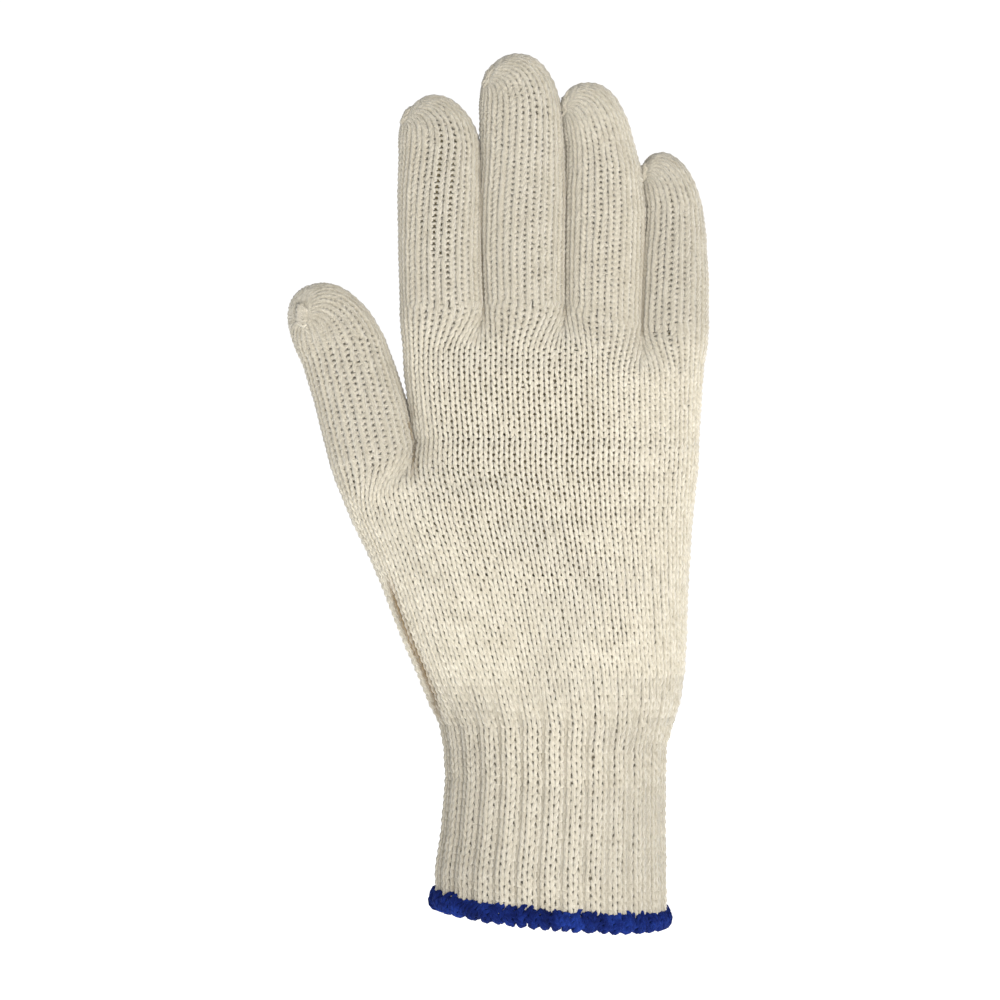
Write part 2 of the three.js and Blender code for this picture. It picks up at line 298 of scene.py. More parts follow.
LITTLE = Tube("little_finger", (173.4, 175.6),
              Table(((174.0, 26.1, 45.8), (187.1, 26.8, 45.8), (200.1, 27.3, 45.1), (208.8, 27.4, 44.1))),
              (224.5, 31.9), 2.4, 14, 14, 32, (-0.82, -0.35, 0.45), (207.0, 0.0), 0.8,
              ((2.0, 0.045), (3.0, 0.05), (4.0, 0.015)))
THUMB = Tube("thumb", (0.0, 0.0),
             Table(((0.0, -12.7, 12.7), (10.4, -12.0, 14.1), (19.4, -11.3, 14.2), (30.5, -11.0, 13.9))),
             (51.8, -1.6), 2.4, 16, 16, 33, (-0.5, -0.7, 0.5), (0.0, 14.0), 1.2, ((3.0, 0.005), (4.0, 0.01)),
             0.4, 1.0)
FINGERS = (INDEX, MIDDLE, RING, LITTLE)
FINGER_WALES = sum(tube.hand_wales for tube in FINGERS)
HAND_WALES = FINGER_WALES + THUMB.hand_wales
ROOT_LINE = (*((tube.outline.rows[0][1], tube.root[0]) for tube in FINGERS),
             (LITTLE.outline.rows[0][2], LITTLE.root[1]))
DROPPED_LOOPS = tuple(Patch(centre, (1.4, 1.3), 1.0) for centre in ((30.0, 171.4), (34.0, 170.9)))


@dataclass(frozen=True)
class HandForm:
    """The smooth outer skin of the filled glove, in metres, in the frame's axes.

    Attributes:
        finger_depth: Depth of a tube as a share of its width.
        finger_touch: How far a finger widens where it has a neighbour.
        finger_press: How much further it widens where it presses on it, which press_fade ends.
        finger_curl: How far a fingertip bends to the palm side.
        thumb_set_back: How far the thumb's tip bends to the rear.
        thumb_root: Place of the thumb's root across and up, with thumb_lean as its angle.
        cap_tilt: Exponent of the turn of a cap's courses towards the rosette.
        palm_squareness: Exponent of the palm's oval, with cuff_squareness for the cuff's.
        knuckle_blend: Height over which the roots of the fingers join, with thumb_blend for the thumb's.
        cuff_blend: Height over which the palm takes on the cuff's looks.
        knuckle_growth: How much taller than the mean the lowest courses are, with heel_growth for the heel.
        thumb_reach: How far to each side of its axis the thumb's root counts, with thumb_fade as its end.
        knuckle: Height, left edge, right edge and depth, as in palm and cuff.
        cuff_half: Half of the cuff's width and of its depth at the raw edge.
        wrist_z: Height of the wrist, with thumb_z for the root of the thumb.
        edge_left: Height of the cuff's raw edge there, with edge_right and the dip of its front.
        open_plain: How open plain knitting stands, with open_middle added in the palm.
        closed_sides: What closes it to the right and to the left, with closed_low below.
        closed_roots: Share by which the roots of the tubes close it, with closed_seams at their seams.
        knuckle_parting: How far the wales stand apart there, with dropped_parting at dropped loops.
        cuff_shade: How dark the cuff's painted shade is, with cuff_shade_fades added, root_shade at the tubes
            and right_side_shade for all.
    """

    finger_depth: float = 0.86
    finger_touch: float = 0.4 * MM
    finger_press: float = 0.6 * MM
    press_fade: float = 14.0 * MM
    finger_curl: float = 3.6 * MM
    thumb_set_back: float = 6.0 * MM
    thumb_root: tuple[float, float] = (-52.1 * MM, 137.5 * MM)
    thumb_lean: float = math.radians(18.7)
    thumb_reach: float = 22.0 * MM
    thumb_fade: float = 8.0 * MM
    cap_tilt: float = 1.5
    palm_squareness: float = 2.35
    cuff_squareness: float = 2.15
    knuckle_blend: float = 15.0 * MM
    thumb_blend: float = 17.0 * MM
    cuff_blend: float = 18.0 * MM
    knuckle_growth: float = 0.07
    heel_growth: float = 0.1
    knuckle: Table = Table(((141.5, -40.2, 43.1, 29.5), (152.3, -41.8, 43.8, 28.0),
                            (161.0, -42.8, 44.4, 26.5), (169.7, -43.2, 45.2, 25.0),
                            (180.1, -43.9, 45.8, 21.5)))
    palm: Table = Table(((58.9, -32.8, 35.8, 38.5), (65.3, -36.0, 37.7, 38.0), (74.0, -39.4, 38.9, 37.0),
                         (82.7, -43.2, 39.4, 36.0), (100.1, -49.9, 40.0, 35.0), (108.8, -53.7, 40.6, 34.0),
                         (117.5, -58.0, 41.2, 33.0), (126.2, -61.2, 42.1, 32.0), (133.4, -64.1, 42.6, 31.0),
                         (141.5, -66.4, 43.1, 30.0)))
    cuff: Table = Table(((0.0, -33.9, 33.9, 41.0), (17.0, -33.9, 33.7, 40.8), (27.6, -32.3, 33.5, 40.0),
                         (43.5, -31.0, 33.6, 39.0), (52.2, -31.6, 33.9, 38.5), (58.9, -32.8, 35.8, 38.5)))
    cuff_half: tuple[float, float] = (33.9 * MM, 20.5 * MM)
    wrist_z: float = 58.9 * MM
    thumb_z: float = 141.5 * MM
    edge_left: float = 8.0 * MM
    edge_right: float = 2.2 * MM
    edge_front_dip: float = 1.2 * MM
    open_plain: float = 0.52
    open_middle: Patch = Patch((-6.0, 134.0), (38.0, 32.0), 0.36)
    closed_sides: tuple[Fade, Fade] = (Fade(0, 8.0, 28.0, 0.92), Fade(0, -30.0, -16.0, 0.4))
    closed_low: Fade = Fade(2, 62.0, -25.0, 0.4)
    closed_roots: float = 0.62
    closed_seams: float = 0.8
    seam_reach: float = 2.5 * MM
    knuckle_parting: Patch = Patch((-16.0, 158.0), (20.0, 16.0), 0.022)
    dropped_parting: float = 0.15
    cuff_shade: float = 0.15
    cuff_shade_fades: tuple[Fade, ...] = (Fade(0, -8.0, -20.0, 0.57), Fade(0, 6.0, 20.0, 0.3),
                                   Fade(2, 28.0, -22.0, 0.15))
    root_shade: float = 0.48
    right_side_shade: Fade = Fade(0, 16.0, 22.0, 0.15)

    def cap_length(self, tube: Tube) -> float:
        """Distance over the rounded cap from the shoulder to the tip."""
        shoulder, left, right = tube.outline.rows[-1]
        return math.pi / 2 * math.hypot((right - left) / 2, tube.top[0] - shoulder) / math.sqrt(2) * MM

    def root_height(self, tube: Tube, share: Array) -> Array:
        """Height of the line where a tube leaves the hand."""
        return mix(tube.root[0], tube.root[1], (1 - np.cos(np.pi * share)) / 2) * MM

    def bend(self, tube: Tube, z: Array) -> Array:
        """How far a tube has bent forwards or back at a height: the fingers curl and the thumb leans."""
        low, high = tube.root[1] * MM, tube.top[0] * MM
        along = np.clip((z - low) / (high - low), 0, 1)
        return self.thumb_set_back * along if tube is THUMB else self.finger_curl * along ** 2

    def press(self, tube: Tube, turn: Array, z: Array) -> Array:
        """How far a tube widens against its neighbour on the side that an angle points to."""
        contact = np.where(np.cos(turn) > 0, tube.contact[0], tube.contact[1]) * MM
        pressed = self.finger_press * ease((contact - z) / self.press_fade)
        return np.where(contact > 0, self.finger_touch, 0) + pressed

    def place(self, tube: Tube, x: Array, y: Array, z: Array) -> Array:
        """Puts a tube's own coordinates into the frame: only the thumb leans."""
        if tube is not THUMB:
            return np.stack([x, y, z], -1)
        c, s = math.cos(self.thumb_lean), math.sin(self.thumb_lean)
        return np.stack([self.thumb_root[0] + x * c - z * s, y, self.thumb_root[1] + z * c + x * s], -1)

    def tube_body(self, tube: Tube, turn: Array, z: Array, inset: float) -> Array:
        """A point on the straight part of a tube.

        Args:
            tube: The finger or thumb.
            turn: Angle round it, from the left edge over the front.
            z: Height in metres.
            inset: How far the point lies inside the skin.

        Returns:
            Points in metres.
        """
        left, right = tube.outline.at(z)
        half = (right - left) / 2
        x = (left + right) / 2 - (half + self.press(tube, turn, z) - inset) * np.cos(turn)
        y = self.bend(tube, z) - (half * self.finger_depth - inset) * np.sin(turn)
        return self.place(tube, x, y, z)

    def tube_cap(self, tube: Tube, turn: Array, rise: Array, inset: float) -> Array:
        """A point on a tube's rounded cap, whose courses close round the rosette and not round the top.

        Args:
            tube: The finger or thumb.
            turn: Angle round it, from the left edge over the front.
            rise: Angle from the shoulder, 0, to the rosette, a right angle.
            inset: How far the point lies inside the skin.

        Returns:
            Points in metres.
        """
        shoulder = tube.outline.rows[-1][0] * MM
        left, right = tube.outline.at(np.array(shoulder))
        half = (right - left) / 2
        lean_x, lean_y, lean_z = tube.rosette
        flat = math.hypot(lean_x, lean_y)
        tilt = math.atan2(flat, lean_z) * (rise / (math.pi / 2)) ** self.cap_tilt
        ux, uy = lean_x / flat, lean_y / flat
        dx, dy, dz = -np.cos(turn) * np.cos(rise), -np.sin(turn) * np.cos(rise), np.sin(rise)
        ahead, aside = dx * ux + dy * uy, -dx * uy + dy * ux
        ahead, dz = ahead * np.cos(tilt) + dz * np.sin(tilt), dz * np.cos(tilt) - ahead * np.sin(tilt)
        dx, dy = ahead * ux - aside * uy, ahead * uy + aside * ux
        dz = np.maximum(dz, 0.0)
        around = np.hypot(dx, dy)
        swell = (around ** tube.roundness + dz ** tube.roundness) ** (-1 / tube.roundness)
        climb = dz * swell
        top = tube.top[0] * MM - inset
        z = shoulder + climb * (top - shoulder)
        centre = mix((left + right) / 2, tube.top[1] * MM, climb)
        touch = np.where(dx < 0, tube.contact[0] > 0, tube.contact[1] > 0) * self.finger_touch * (1 - climb)
        x = centre + (half + touch - inset) * dx * swell
        y = self.bend(tube, z) + (half * self.finger_depth - inset) * dy * swell
        return self.place(tube, x, y, z)

    def tube(self, tube: Tube) -> Surface:
        """The skin of a tube, as a function of turns round it and the share of the way up it."""
        shoulder = tube.outline.rows[-1][0] * MM
        cap = self.cap_length(tube)

        def point(around: Array, up: Array, inset: float) -> Array:
            """A point of the skin."""
            root = self.root_height(tube, front_or_back(around)[0])
            turn = 2 * np.pi * (around + tube.slant / tube.wales * up ** 2)
            path = up * (shoulder - root + cap)
            body = self.tube_body(tube, turn, np.minimum(root + path, shoulder), inset)
            rise = np.clip((path - (shoulder - root)) / cap, 0, 1) * np.pi / 2
            return np.where((path > shoulder - root)[..., None], self.tube_cap(tube, turn, rise, inset), body)

        return point

    def oval(self, rows: Table, squareness: float, share: Array, side: Array, z: Array,
             inset: float) -> Array:
        """A point on a rounded oval.

        Args:
            rows: Height, left edge, right edge and depth.
            squareness: The oval's exponent.
            share: How far along the outline from the left edge to the right edge.
            side: -1 for the front and 1 for the back.
            z: Height in metres.
            inset: How far the point lies inside the skin.

        Returns:
            Points in metres.
        """
        left, right, depth = rows.at(z)
        half, deep = (right - left) / 2 - inset, depth / 2 - inset
        angle = np.linspace(0, np.pi, OVAL_POINTS)
        c = np.cos(angle)
        unit_x = -np.sign(c) * np.abs(c) ** (2 / squareness)
        unit_y = np.abs(np.sin(angle)) ** (2 / squareness)
        steps = np.hypot(np.diff(unit_x), np.diff(unit_y) * float(np.mean(deep / half)))
        length = np.concatenate([[0], np.cumsum(steps)])
        x, y = (np.interp(share, length / length[-1], axis) for axis in (unit_x, unit_y))
        return np.stack([(left + right) / 2 + half * x, side * deep * y, z], -1)

    @staticmethod
    def lobe_of(wale: Array, tubes: tuple[Tube, ...]) -> tuple[Array, Array, Array, Array]:
        """Which tube a wale of the hand runs up to.

        Args:
            wale: Wales counted from the left edge over the front and back over the rear.
            tubes: The tubes from left to right.

        Returns:
            The tube's number, the angle round it, the share across the hand, and -1 in front or 1 behind.
        """
        total = sum(tube.hand_wales for tube in tubes)
        wale = wale % total
        side = np.where(wale < total / 2, -1.0, 1.0)
        front = np.where(wale < total / 2, wale, total - wale)
        edges = np.concatenate([[0], np.cumsum([tube.hand_wales / 2 for tube in tubes])])
        lobe = np.clip(np.searchsorted(edges, front, side="right") - 1, 0, len(tubes) - 1)
        across = (front - edges[lobe]) / np.diff(edges)[lobe]
        return lobe, np.pi * across * -side, front / (total / 2), side

    def knuckles(self, wale: Array, down: Array, inset: float) -> Array:
        """The hand between the roots of the fingers and the root of the thumb.

        Args:
            wale: Wales from the left edge over the front.
            down: 0 at the fingers' roots and 1 at the thumb's.
            inset: How far the point lies inside the skin.

        Returns:
            Points in metres.
        """
        lobe, turn, share, side = self.lobe_of(wale, FINGERS)
        root = np.zeros(wale.shape)
        for k, tube in enumerate(FINGERS):
            root = np.where(lobe == k, self.root_height(tube, np.abs(turn) / np.pi), root)
        z = mix(root, self.thumb_z, down + self.knuckle_growth * down * (down - 1))
        apart = np.zeros((*wale.shape, 3))
        for k, tube in enumerate(FINGERS):
            body = self.tube_body(tube, turn, np.maximum(z, root - self.knuckle_blend), inset)
            apart = np.where((lobe == k)[..., None], body, apart)
        apart[..., 2] = z
        joined = self.oval(self.knuckle, self.palm_squareness, share, side, z, inset)
        return mix(apart, joined, ease((root - z) / self.knuckle_blend)[..., None])

    def heel(self, wale: Array, down: Array, inset: float) -> Array:
        """The hand between the root of the thumb and the wrist.

        Args:
            wale: Wales from the left edge over the front.
            down: 0 at the thumb's root and 1 at the wrist.
            inset: How far the point lies inside the skin.

        Returns:
            Points in metres.
        """
        lobe, turn, share, side = self.lobe_of(wale, (THUMB, *FINGERS))
        thumb = self.tube_body(THUMB, turn, np.zeros(wale.shape), inset)
        half = FINGER_WALES / 2
        front = share * (half + THUMB.hand_wales / 2) - THUMB.hand_wales / 2
        hand = self.knuckles(np.where(side < 0, front, 2 * half - front), np.ones(wale.shape), inset)
        start = np.where((lobe == 0)[..., None], thumb, hand)
        z = mix(start[..., 2], self.wrist_z, down + self.heel_growth * down * (down - 1))
        fallen = start[..., 2] - z
        apart = start.copy()
        apart[..., 0] += np.where(lobe == 0, fallen * math.tan(self.thumb_lean), 0)
        apart[..., 2] = z
        square, rounder = (self.oval(self.palm, squareness, share, side, z, inset)
                           for squareness in (self.palm_squareness, self.cuff_squareness))
        joined = mix(square, rounder, self.cufflike(z)[..., None])
        points = mix(apart, joined, ease(fallen / self.thumb_blend)[..., None])
        for crease in CREASES:
            points = crease.press(points)
        return points

    def openness(self, points: Array) -> Array:
        """How far the knitting stands open.

        Args:
            points: Points in metres.

        Returns:
            Shares from 0 to about 1: most in the palm's middle, least at the right side.
        """
        fingers, thumb, thumblike = self.roots(points)
        sides = (1 - self.closed_sides[0].at(points)) * (1 - self.closed_sides[1].at(points))
        ends = (1 - self.closed_low.at(points)) * (1 - self.closed_roots * self.fingerlike(points))
        seams = np.maximum(bell(fingers / self.seam_reach), bell(thumb / self.seam_reach) * thumblike)
        plain = (self.open_plain + self.open_middle.at(points)) * sides * ends
        return plain * (1 - self.closed_seams * seams) + self.dropped(points)

    @staticmethod
    def dropped(points: Array) -> Array:
        """1 at the large holes beside the little finger's root, and 0 away from them."""
        return np.where(points[..., 1] < 0, np.max([hole.at(points) for hole in DROPPED_LOOPS], axis=0), 0.0)

    def parting(self, points: Array) -> Array:
        """How far the wales stand apart, as a share of a wale."""
        return self.knuckle_parting.at(points) + self.dropped_parting * self.dropped(points)

    def tone(self, points: Array) -> Array:
        """How far the yarn is darkened by painted shade: the fingers some, the thumb's side of the cuff most.
        """
        painted_shading = sum((shade_fade.at(points) for shade_fade in self.cuff_shade_fades), self.cuff_shade)
        cuff = painted_shading * self.cufflike(points[..., 2])
        return np.maximum(self.root_shade * self.fingerlike(points), cuff) + self.right_side_shade.at(points)

    def roots(self, points: Array) -> tuple[Array, Array, Array]:
        """Where points lie from the roots of the tubes.

        Args:
            points: Points in metres.

        Returns:
            Heights above the fingers' and above the thumb's root line, and how far they belong to the thumb.
        """
        x, z = points[..., 0] - self.thumb_root[0], points[..., 2] - self.thumb_root[1]
        c, s = math.cos(self.thumb_lean), math.sin(self.thumb_lean)
        edges, heights = np.array(ROOT_LINE).T * MM
        thumblike = ease((self.thumb_reach - np.abs(x * c + z * s)) / self.thumb_fade)
        return points[..., 2] - np.interp(points[..., 0], edges, heights), z * c - x * s, thumblike

    def fingerlike(self, points: Array) -> Array:
        """How much the stitches of the hand are like those of the tubes, from 1 at the roots to 0 below."""
        fingers, thumb, thumblike = self.roots(points)
        near_thumb = ease(1 + thumb / self.thumb_blend) * thumblike
        return np.maximum(ease(1 + fingers / self.knuckle_blend), near_thumb)

    def cufflike(self, z: Array) -> Array:
        """How much the hand at a height is like the cuff, from 1 at the wrist to 0 above."""
        return ease(1 - (z - self.wrist_z) / self.cuff_blend)

    @staticmethod
    def folds(points: Array) -> Array:
        """How deep in the shadow of a crease the points lie."""
        return np.max([crease.shade(points) for crease in (*CREASES, *FINGER_CREASES)], axis=0)

    def edge_height(self, x: Array, y: Array) -> Array:
        """Height of the cuff's raw edge."""
        across = (x + self.cuff_half[0]) / (2 * self.cuff_half[0])
        front = np.clip(-y / self.cuff_half[1], 0, 1)
        return mix(self.edge_left, self.edge_right, across) - self.edge_front_dip * front ** 2

    def cuff_wall(self, around: Array, z: Array, inset: float) -> Array:
        """A point on the cuff, at a share of the way round and a height."""
        share, side = front_or_back(around)
        return self.oval(self.cuff, self.cuff_squareness, share, side, z, inset)

    def cuff_course(self, around: Array, down: Array, inset: float) -> Array:
        """A point on the cuff, between the wrist, down 0, and the raw edge, down 1."""
        plain = self.cuff_wall(around, np.full(around.shape, self.wrist_z), inset)
        edge = self.edge_height(plain[..., 0], plain[..., 1])
        return self.cuff_wall(around, mix(self.wrist_z, edge, down), inset)


@dataclass(frozen=True)
class Stitch:
    """The loop that a course makes in each wale.

    Attributes:
        lean: How far the legs lean, as a share of the wale's width.
        reach: Half the loop's height, in courses.
        depth: How far the legs stand out and the loop's ends lie back.
        yarn: Radius of the yarn.
        unevenness: How far the yarn strays.
        sides: Faces round the yarn.
        steps: Points of the yarn in each loop.
    """

    lean: float = 0.22
    reach: float = 0.76
    depth: float = 0.36 * MM
    yarn: float = 0.55 * MM
    unevenness: float = 0.4 * MM
    sides: int = 5
    steps: int = 8


HAND_STITCH = Stitch()
FINGER_STITCH = Stitch(lean=0.2, reach=0.84, depth=0.32 * MM, yarn=0.64 * MM, unevenness=0.24 * MM)
CUFF_STITCH = Stitch(lean=0.225, reach=0.78, yarn=0.6 * MM, unevenness=0.3 * MM)


class Nodes:
    """A short way to write a node tree."""

    def __init__(self, tree: bpy.types.NodeTree) -> None:
        """Takes the tree that the nodes go into."""
        self.tree = tree

    def node(self, kind: str, **settings: object) -> bpy.types.Node:
        """Adds a node and sets its options."""
        made = self.tree.nodes.new(kind)
        for key, value in settings.items():
            setattr(made, key, value)
        return made

    def join(self, socket: bpy.types.NodeSocket, value: object) -> None:
        """Connects one socket to a socket or to a node's first output, or sets its value."""
        if isinstance(value, bpy.types.Node):
            value = value.outputs[0]
        if isinstance(value, bpy.types.NodeSocket):
            self.tree.links.new(value, socket)
        else:
            socket.default_value = value

    def wire(self, node: bpy.types.Node, **links: object) -> bpy.types.Node:
        """Joins a node's inputs by name, with spaces written as underscores, and returns the node."""
        for name, value in links.items():
            self.join(node.inputs[name.replace("_", " ")], value)
        return node

    def feed(self, node: bpy.types.Node, *values: object) -> bpy.types.NodeSocket:
        """Joins a node's inputs in their order and returns its first output."""
        for socket, value in zip(node.inputs, values):
            self.join(socket, value)
        return node.outputs[0]

    def math(self, operation: str, *values: object) -> bpy.types.NodeSocket:
        """A Math node's result."""
        return self.feed(self.node("ShaderNodeMath", operation=operation), *values)

    def times(self, first: object, *others: object) -> bpy.types.NodeSocket:
        """The product of two values or more."""
        for other in others:
            first = self.math("MULTIPLY", first, other)
        return first


class GeometryTree(Nodes):
    """A Geometry Nodes tree with a geometry input and output."""

    def __init__(self, name: str) -> None:
        """Makes an empty tree."""
        super().__init__(bpy.data.node_groups.new(name, "GeometryNodeTree"))
        for side in ("INPUT", "OUTPUT"):
            self.tree.interface.new_socket("Geometry", in_out=side, socket_type="NodeSocketGeometry")
        self.source = self.node("NodeGroupInput")
        self.sink = self.node("NodeGroupOutput")

    def inputs(self, kind: str, *names: str) -> list[bpy.types.NodeSocket]:
        """Adds named inputs of a kind, Float, Int or Material, and returns the sockets that carry them."""
        for name in names:
            self.tree.interface.new_socket(name, in_out="INPUT", socket_type=f"NodeSocket{kind}")
        return [self.source.outputs[name] for name in names]

    def vector(self, operation: str, *values: object) -> bpy.types.NodeSocket:
        """A Vector Math node's result."""
        return self.feed(self.node("ShaderNodeVectorMath", operation=operation), *values)

    def scaled(self, vector: object, factor: object) -> bpy.types.NodeSocket:
        """A vector times a number."""
        node = self.wire(self.node("ShaderNodeVectorMath", operation="SCALE"), Scale=factor)
        return self.feed(node, vector)

    def attribute(self, name: str, kind: str = "FLOAT") -> bpy.types.NodeSocket:
        """Reads a named attribute."""
        node = self.wire(self.node("GeometryNodeInputNamedAttribute", data_type=kind), Name=name)
        return next(s for s in node.outputs if s.enabled and s.name == "Attribute")

    def store(self, geometry: object, name: str, value: object) -> bpy.types.Node:
        """Stores a number on the points of a geometry."""
        node = self.node("GeometryNodeStoreNamedAttribute", data_type="FLOAT", domain="POINT")
        return self.wire(node, Geometry=geometry, Name=name, Value=value)

    def moved(self, geometry: object, offset: object) -> bpy.types.Node:
        """Moves every point of a geometry."""
        return self.wire(self.node("GeometryNodeSetPosition"), Geometry=geometry, Offset=offset)

    def noise(self, scale: float, seed: object) -> bpy.types.NodeSocket:
        """Smooth random colour between 0 and 1 at each point's place."""
        node = self.node("ShaderNodeTexNoise", noise_dimensions="4D")
        self.wire(node, Vector=self.node("GeometryNodeInputPosition"), W=seed, Scale=scale, Detail=1.0)
        return node.outputs["Color"]

    def stray(self, scale: float, seed: object, distance: object) -> bpy.types.NodeSocket:
        """A smooth random offset, up to half of a distance each way."""
        return self.scaled(self.vector("SUBTRACT", self.noise(scale, seed), (0.5, 0.5, 0.5)), distance)

    def yarn(self, lines: object, radius: object, sides: object, material: object) -> bpy.types.Node:
        """Turns lines into a round yarn that knows its length and its turn, for the strands' twist.

        Args:
            lines: A mesh of edges.
            radius: Radius of the yarn at each point.
            sides: Faces round it.
            material: Its finish.

        Returns:
            The node that gives the yarn's mesh.
        """
        curve = self.wire(self.node("GeometryNodeMeshToCurve"), Mesh=lines)
        sized = self.wire(self.node("GeometryNodeSetCurveRadius"), Curve=curve, Radius=radius)
        along = self.store(sized, "along", self.node("GeometryNodeSplineParameter").outputs["Length"])
        ring = self.node("GeometryNodeCurvePrimitiveCircle", mode="RADIUS")
        self.wire(ring, Resolution=sides, Radius=1.0)
        around = self.store(ring, "around", self.node("GeometryNodeSplineParameter").outputs["Factor"])
        body = self.wire(self.node("GeometryNodeCurveToMesh"), Curve=along, Profile_Curve=around,
                         Fill_Caps=True, Scale=self.node("GeometryNodeInputRadius"))
        smooth = self.wire(self.node("GeometryNodeSetShadeSmooth"), Geometry=body)
        real = self.wire(self.node("GeometryNodeRealizeInstances"), Geometry=smooth)
        return self.wire(self.node("GeometryNodeSetMaterial"), Geometry=real, Material=material)

    def finish(self, geometry: object) -> bpy.types.NodeTree:
        """Connects the output and returns the tree."""
        self.join(self.sink.inputs["Geometry"], geometry)
        return self.tree


def loop_tree() -> bpy.types.NodeTree:
    """Geometry Nodes that bend course lines into knitted loops and give them a body of yarn.

    Returns:
        The tree. Its lines carry across, down and out, one wale, one course and one metre long; turn, the
        angle through the loop; swell and slope, the shares of the full thickness and lean; and gap, how far
        the legs of neighbouring wales stand apart as a share of the wale.
    """
    t = GeometryTree("KnitLoops")
    lean, reach, depth, radius, uneven = t.inputs("Float", "Lean", "Reach", "Depth", "Yarn Radius",
                                                  "Unevenness")
    sides, = t.inputs("Int", "Sides")
    seed, = t.inputs("Float", "Seed")
    material, = t.inputs("Material", "Yarn")
    turn = t.attribute("turn")
    twice = t.times(turn, 2.0)
    leant = t.times(lean, t.attribute("slope"), t.math("SINE", twice))
    sway = t.math("ADD", leant, t.times(t.attribute("gap"), t.math("SINE", turn)))
    sideways = t.scaled(t.attribute("across", "FLOAT_VECTOR"), sway)
    downwards = t.scaled(t.attribute("down", "FLOAT_VECTOR"), t.times(reach, -1.0, t.math("COSINE", turn)))
    outwards = t.scaled(t.attribute("out", "FLOAT_VECTOR"), t.times(depth, -1.0, t.math("COSINE", twice)))
    strayed = t.vector("ADD", outwards, t.stray(420.0, seed, uneven))
    loops = t.moved(t.source, t.vector("ADD", t.vector("ADD", sideways, downwards), strayed))
    slub = t.math("MULTIPLY_ADD", t.noise(240.0, t.math("ADD", seed, 40.0)), 0.6, 0.7)
    return t.finish(t.yarn(loops, t.times(radius, slub, t.attribute("swell")), sides, material))


def wrap_tree() -> bpy.types.NodeTree:
    """Geometry Nodes that wind a bulky thread round an edge.

    Returns:
        The tree. Its line carries out, one metre long; turn, the angle through the wrap; wrap, its number;
        and lump, 1 where the thread bulges and 0 between.
    """
    t = GeometryTree("OveredgeWraps")
    half, climb, drop, bite, radius, lumps = t.inputs("Float", "Half Thickness", "Climb", "Drop",
                                                      "Longest Bite", "Thread Radius", "Lumpiness")
    sides, seed = t.inputs("Int", "Sides", "Seed")
    material, = t.inputs("Material", "Thread")
    turn = t.attribute("turn")
    up = t.math("SINE", turn)
    chance = t.wire(t.node("FunctionNodeRandomValue", data_type="FLOAT"), ID=t.attribute("wrap", "INT"),
                    Seed=seed)
    reach = t.times(bite, t.math("POWER", next(s for s in chance.outputs if s.enabled), 4.0))
    above = t.times(t.math("MAXIMUM", up, 0.0), t.math("ADD", climb, reach))
    bulge = t.math("MULTIPLY_ADD", t.attribute("lump"), 0.62, 0.56)
    below = t.times(t.math("MINIMUM", up, 0.0), drop, bulge)
    rise = t.wire(t.node("ShaderNodeCombineXYZ"), Z=t.math("ADD", above, below))
    outwards = t.scaled(t.attribute("out", "FLOAT_VECTOR"), t.times(half, bulge, t.math("COSINE", turn)))
    offset = t.vector("ADD", t.vector("ADD", outwards, rise), t.stray(170.0, seed, t.times(lumps, 3.0)))
    thread = t.yarn(t.moved(t.source, offset), radius, sides, material)
    curl = t.math("SUBTRACT", t.noise(1300.0, t.math("ADD", seed, 5.0)), 0.5)
    bulk = t.scaled(t.node("GeometryNodeInputNormal"), t.times(curl, 2.0, lumps))
    return t.finish(t.moved(thread, bulk))


class Lines:
    """Collects closed lines of points with attributes, and makes them a mesh of edges."""

    def __init__(self) -> None:
        """Starts empty."""
        self.points: list[Array] = []
        self.edges: list[Array] = []
        self.values: dict[str, list[Array]] = {}
        self.count = 0

    def add(self, points: Array, **values: Array) -> None:
        """Adds one closed line.

        Args:
            points: Its points in metres.
            **values: One number or vector for each point.
        """
        first = np.arange(len(points))
        self.edges.append(np.stack([first, (first + 1) % len(points)], -1) + self.count)
        self.points.append(points)
        for name, value in values.items():
            self.values.setdefault(name, []).append(value)
        self.count += len(points)

    def mesh(self, name: str) -> bpy.types.Object:
        """Makes the object, at the origin."""
        data = bpy.data.meshes.new(name)
        points, edges = np.concatenate(self.points), np.concatenate(self.edges)
        data.vertices.add(len(points))
        data.vertices.foreach_set("co", points.astype(np.float32).ravel())
        data.edges.add(len(edges))
        data.edges.foreach_set("vertices", edges.astype(np.int32).ravel())
        for key, parts in self.values.items():
            value = np.concatenate(parts).astype(np.float32)
            kind, slot = ("FLOAT_VECTOR", "vector") if value.ndim == 2 else ("FLOAT", "value")
            data.attributes.new(key, kind, "POINT").data.foreach_set(slot, value.ravel())
        data.update()
        return placed(name, data)


def run_tree(source: bpy.types.Object, tree: bpy.types.NodeTree, name: str,
             **inputs: object) -> bpy.types.Object:
    """Runs a Geometry Nodes tree on an object and keeps the result as a plain mesh.

    Args:
        source: The object with the lines. It is removed.
        tree: The tree.
        name: The new piece's name.
        **inputs: The tree's inputs by name, with spaces written as underscores.

    Returns:
        The new object.
    """
    modifier = source.modifiers.new("nodes", "NODES")
    modifier.node_group = tree
    ids = {s.name: s.identifier for s in tree.interface.items_tree if s.in_out == "INPUT"}
    for key, value in inputs.items():
        modifier[ids[key.replace("_", " ")]] = value
    graph = bpy.context.evaluated_depsgraph_get()
    data = bpy.data.meshes.new_from_object(source.evaluated_get(graph), depsgraph=graph)
    data.name = name
    source.modifiers.remove(modifier)
    bpy.data.objects.remove(source)
    for extra in [a.name for a in data.attributes if a.name in LINE_ATTRIBUTES]:
        data.attributes.remove(data.attributes[extra])
    return placed(name, data)


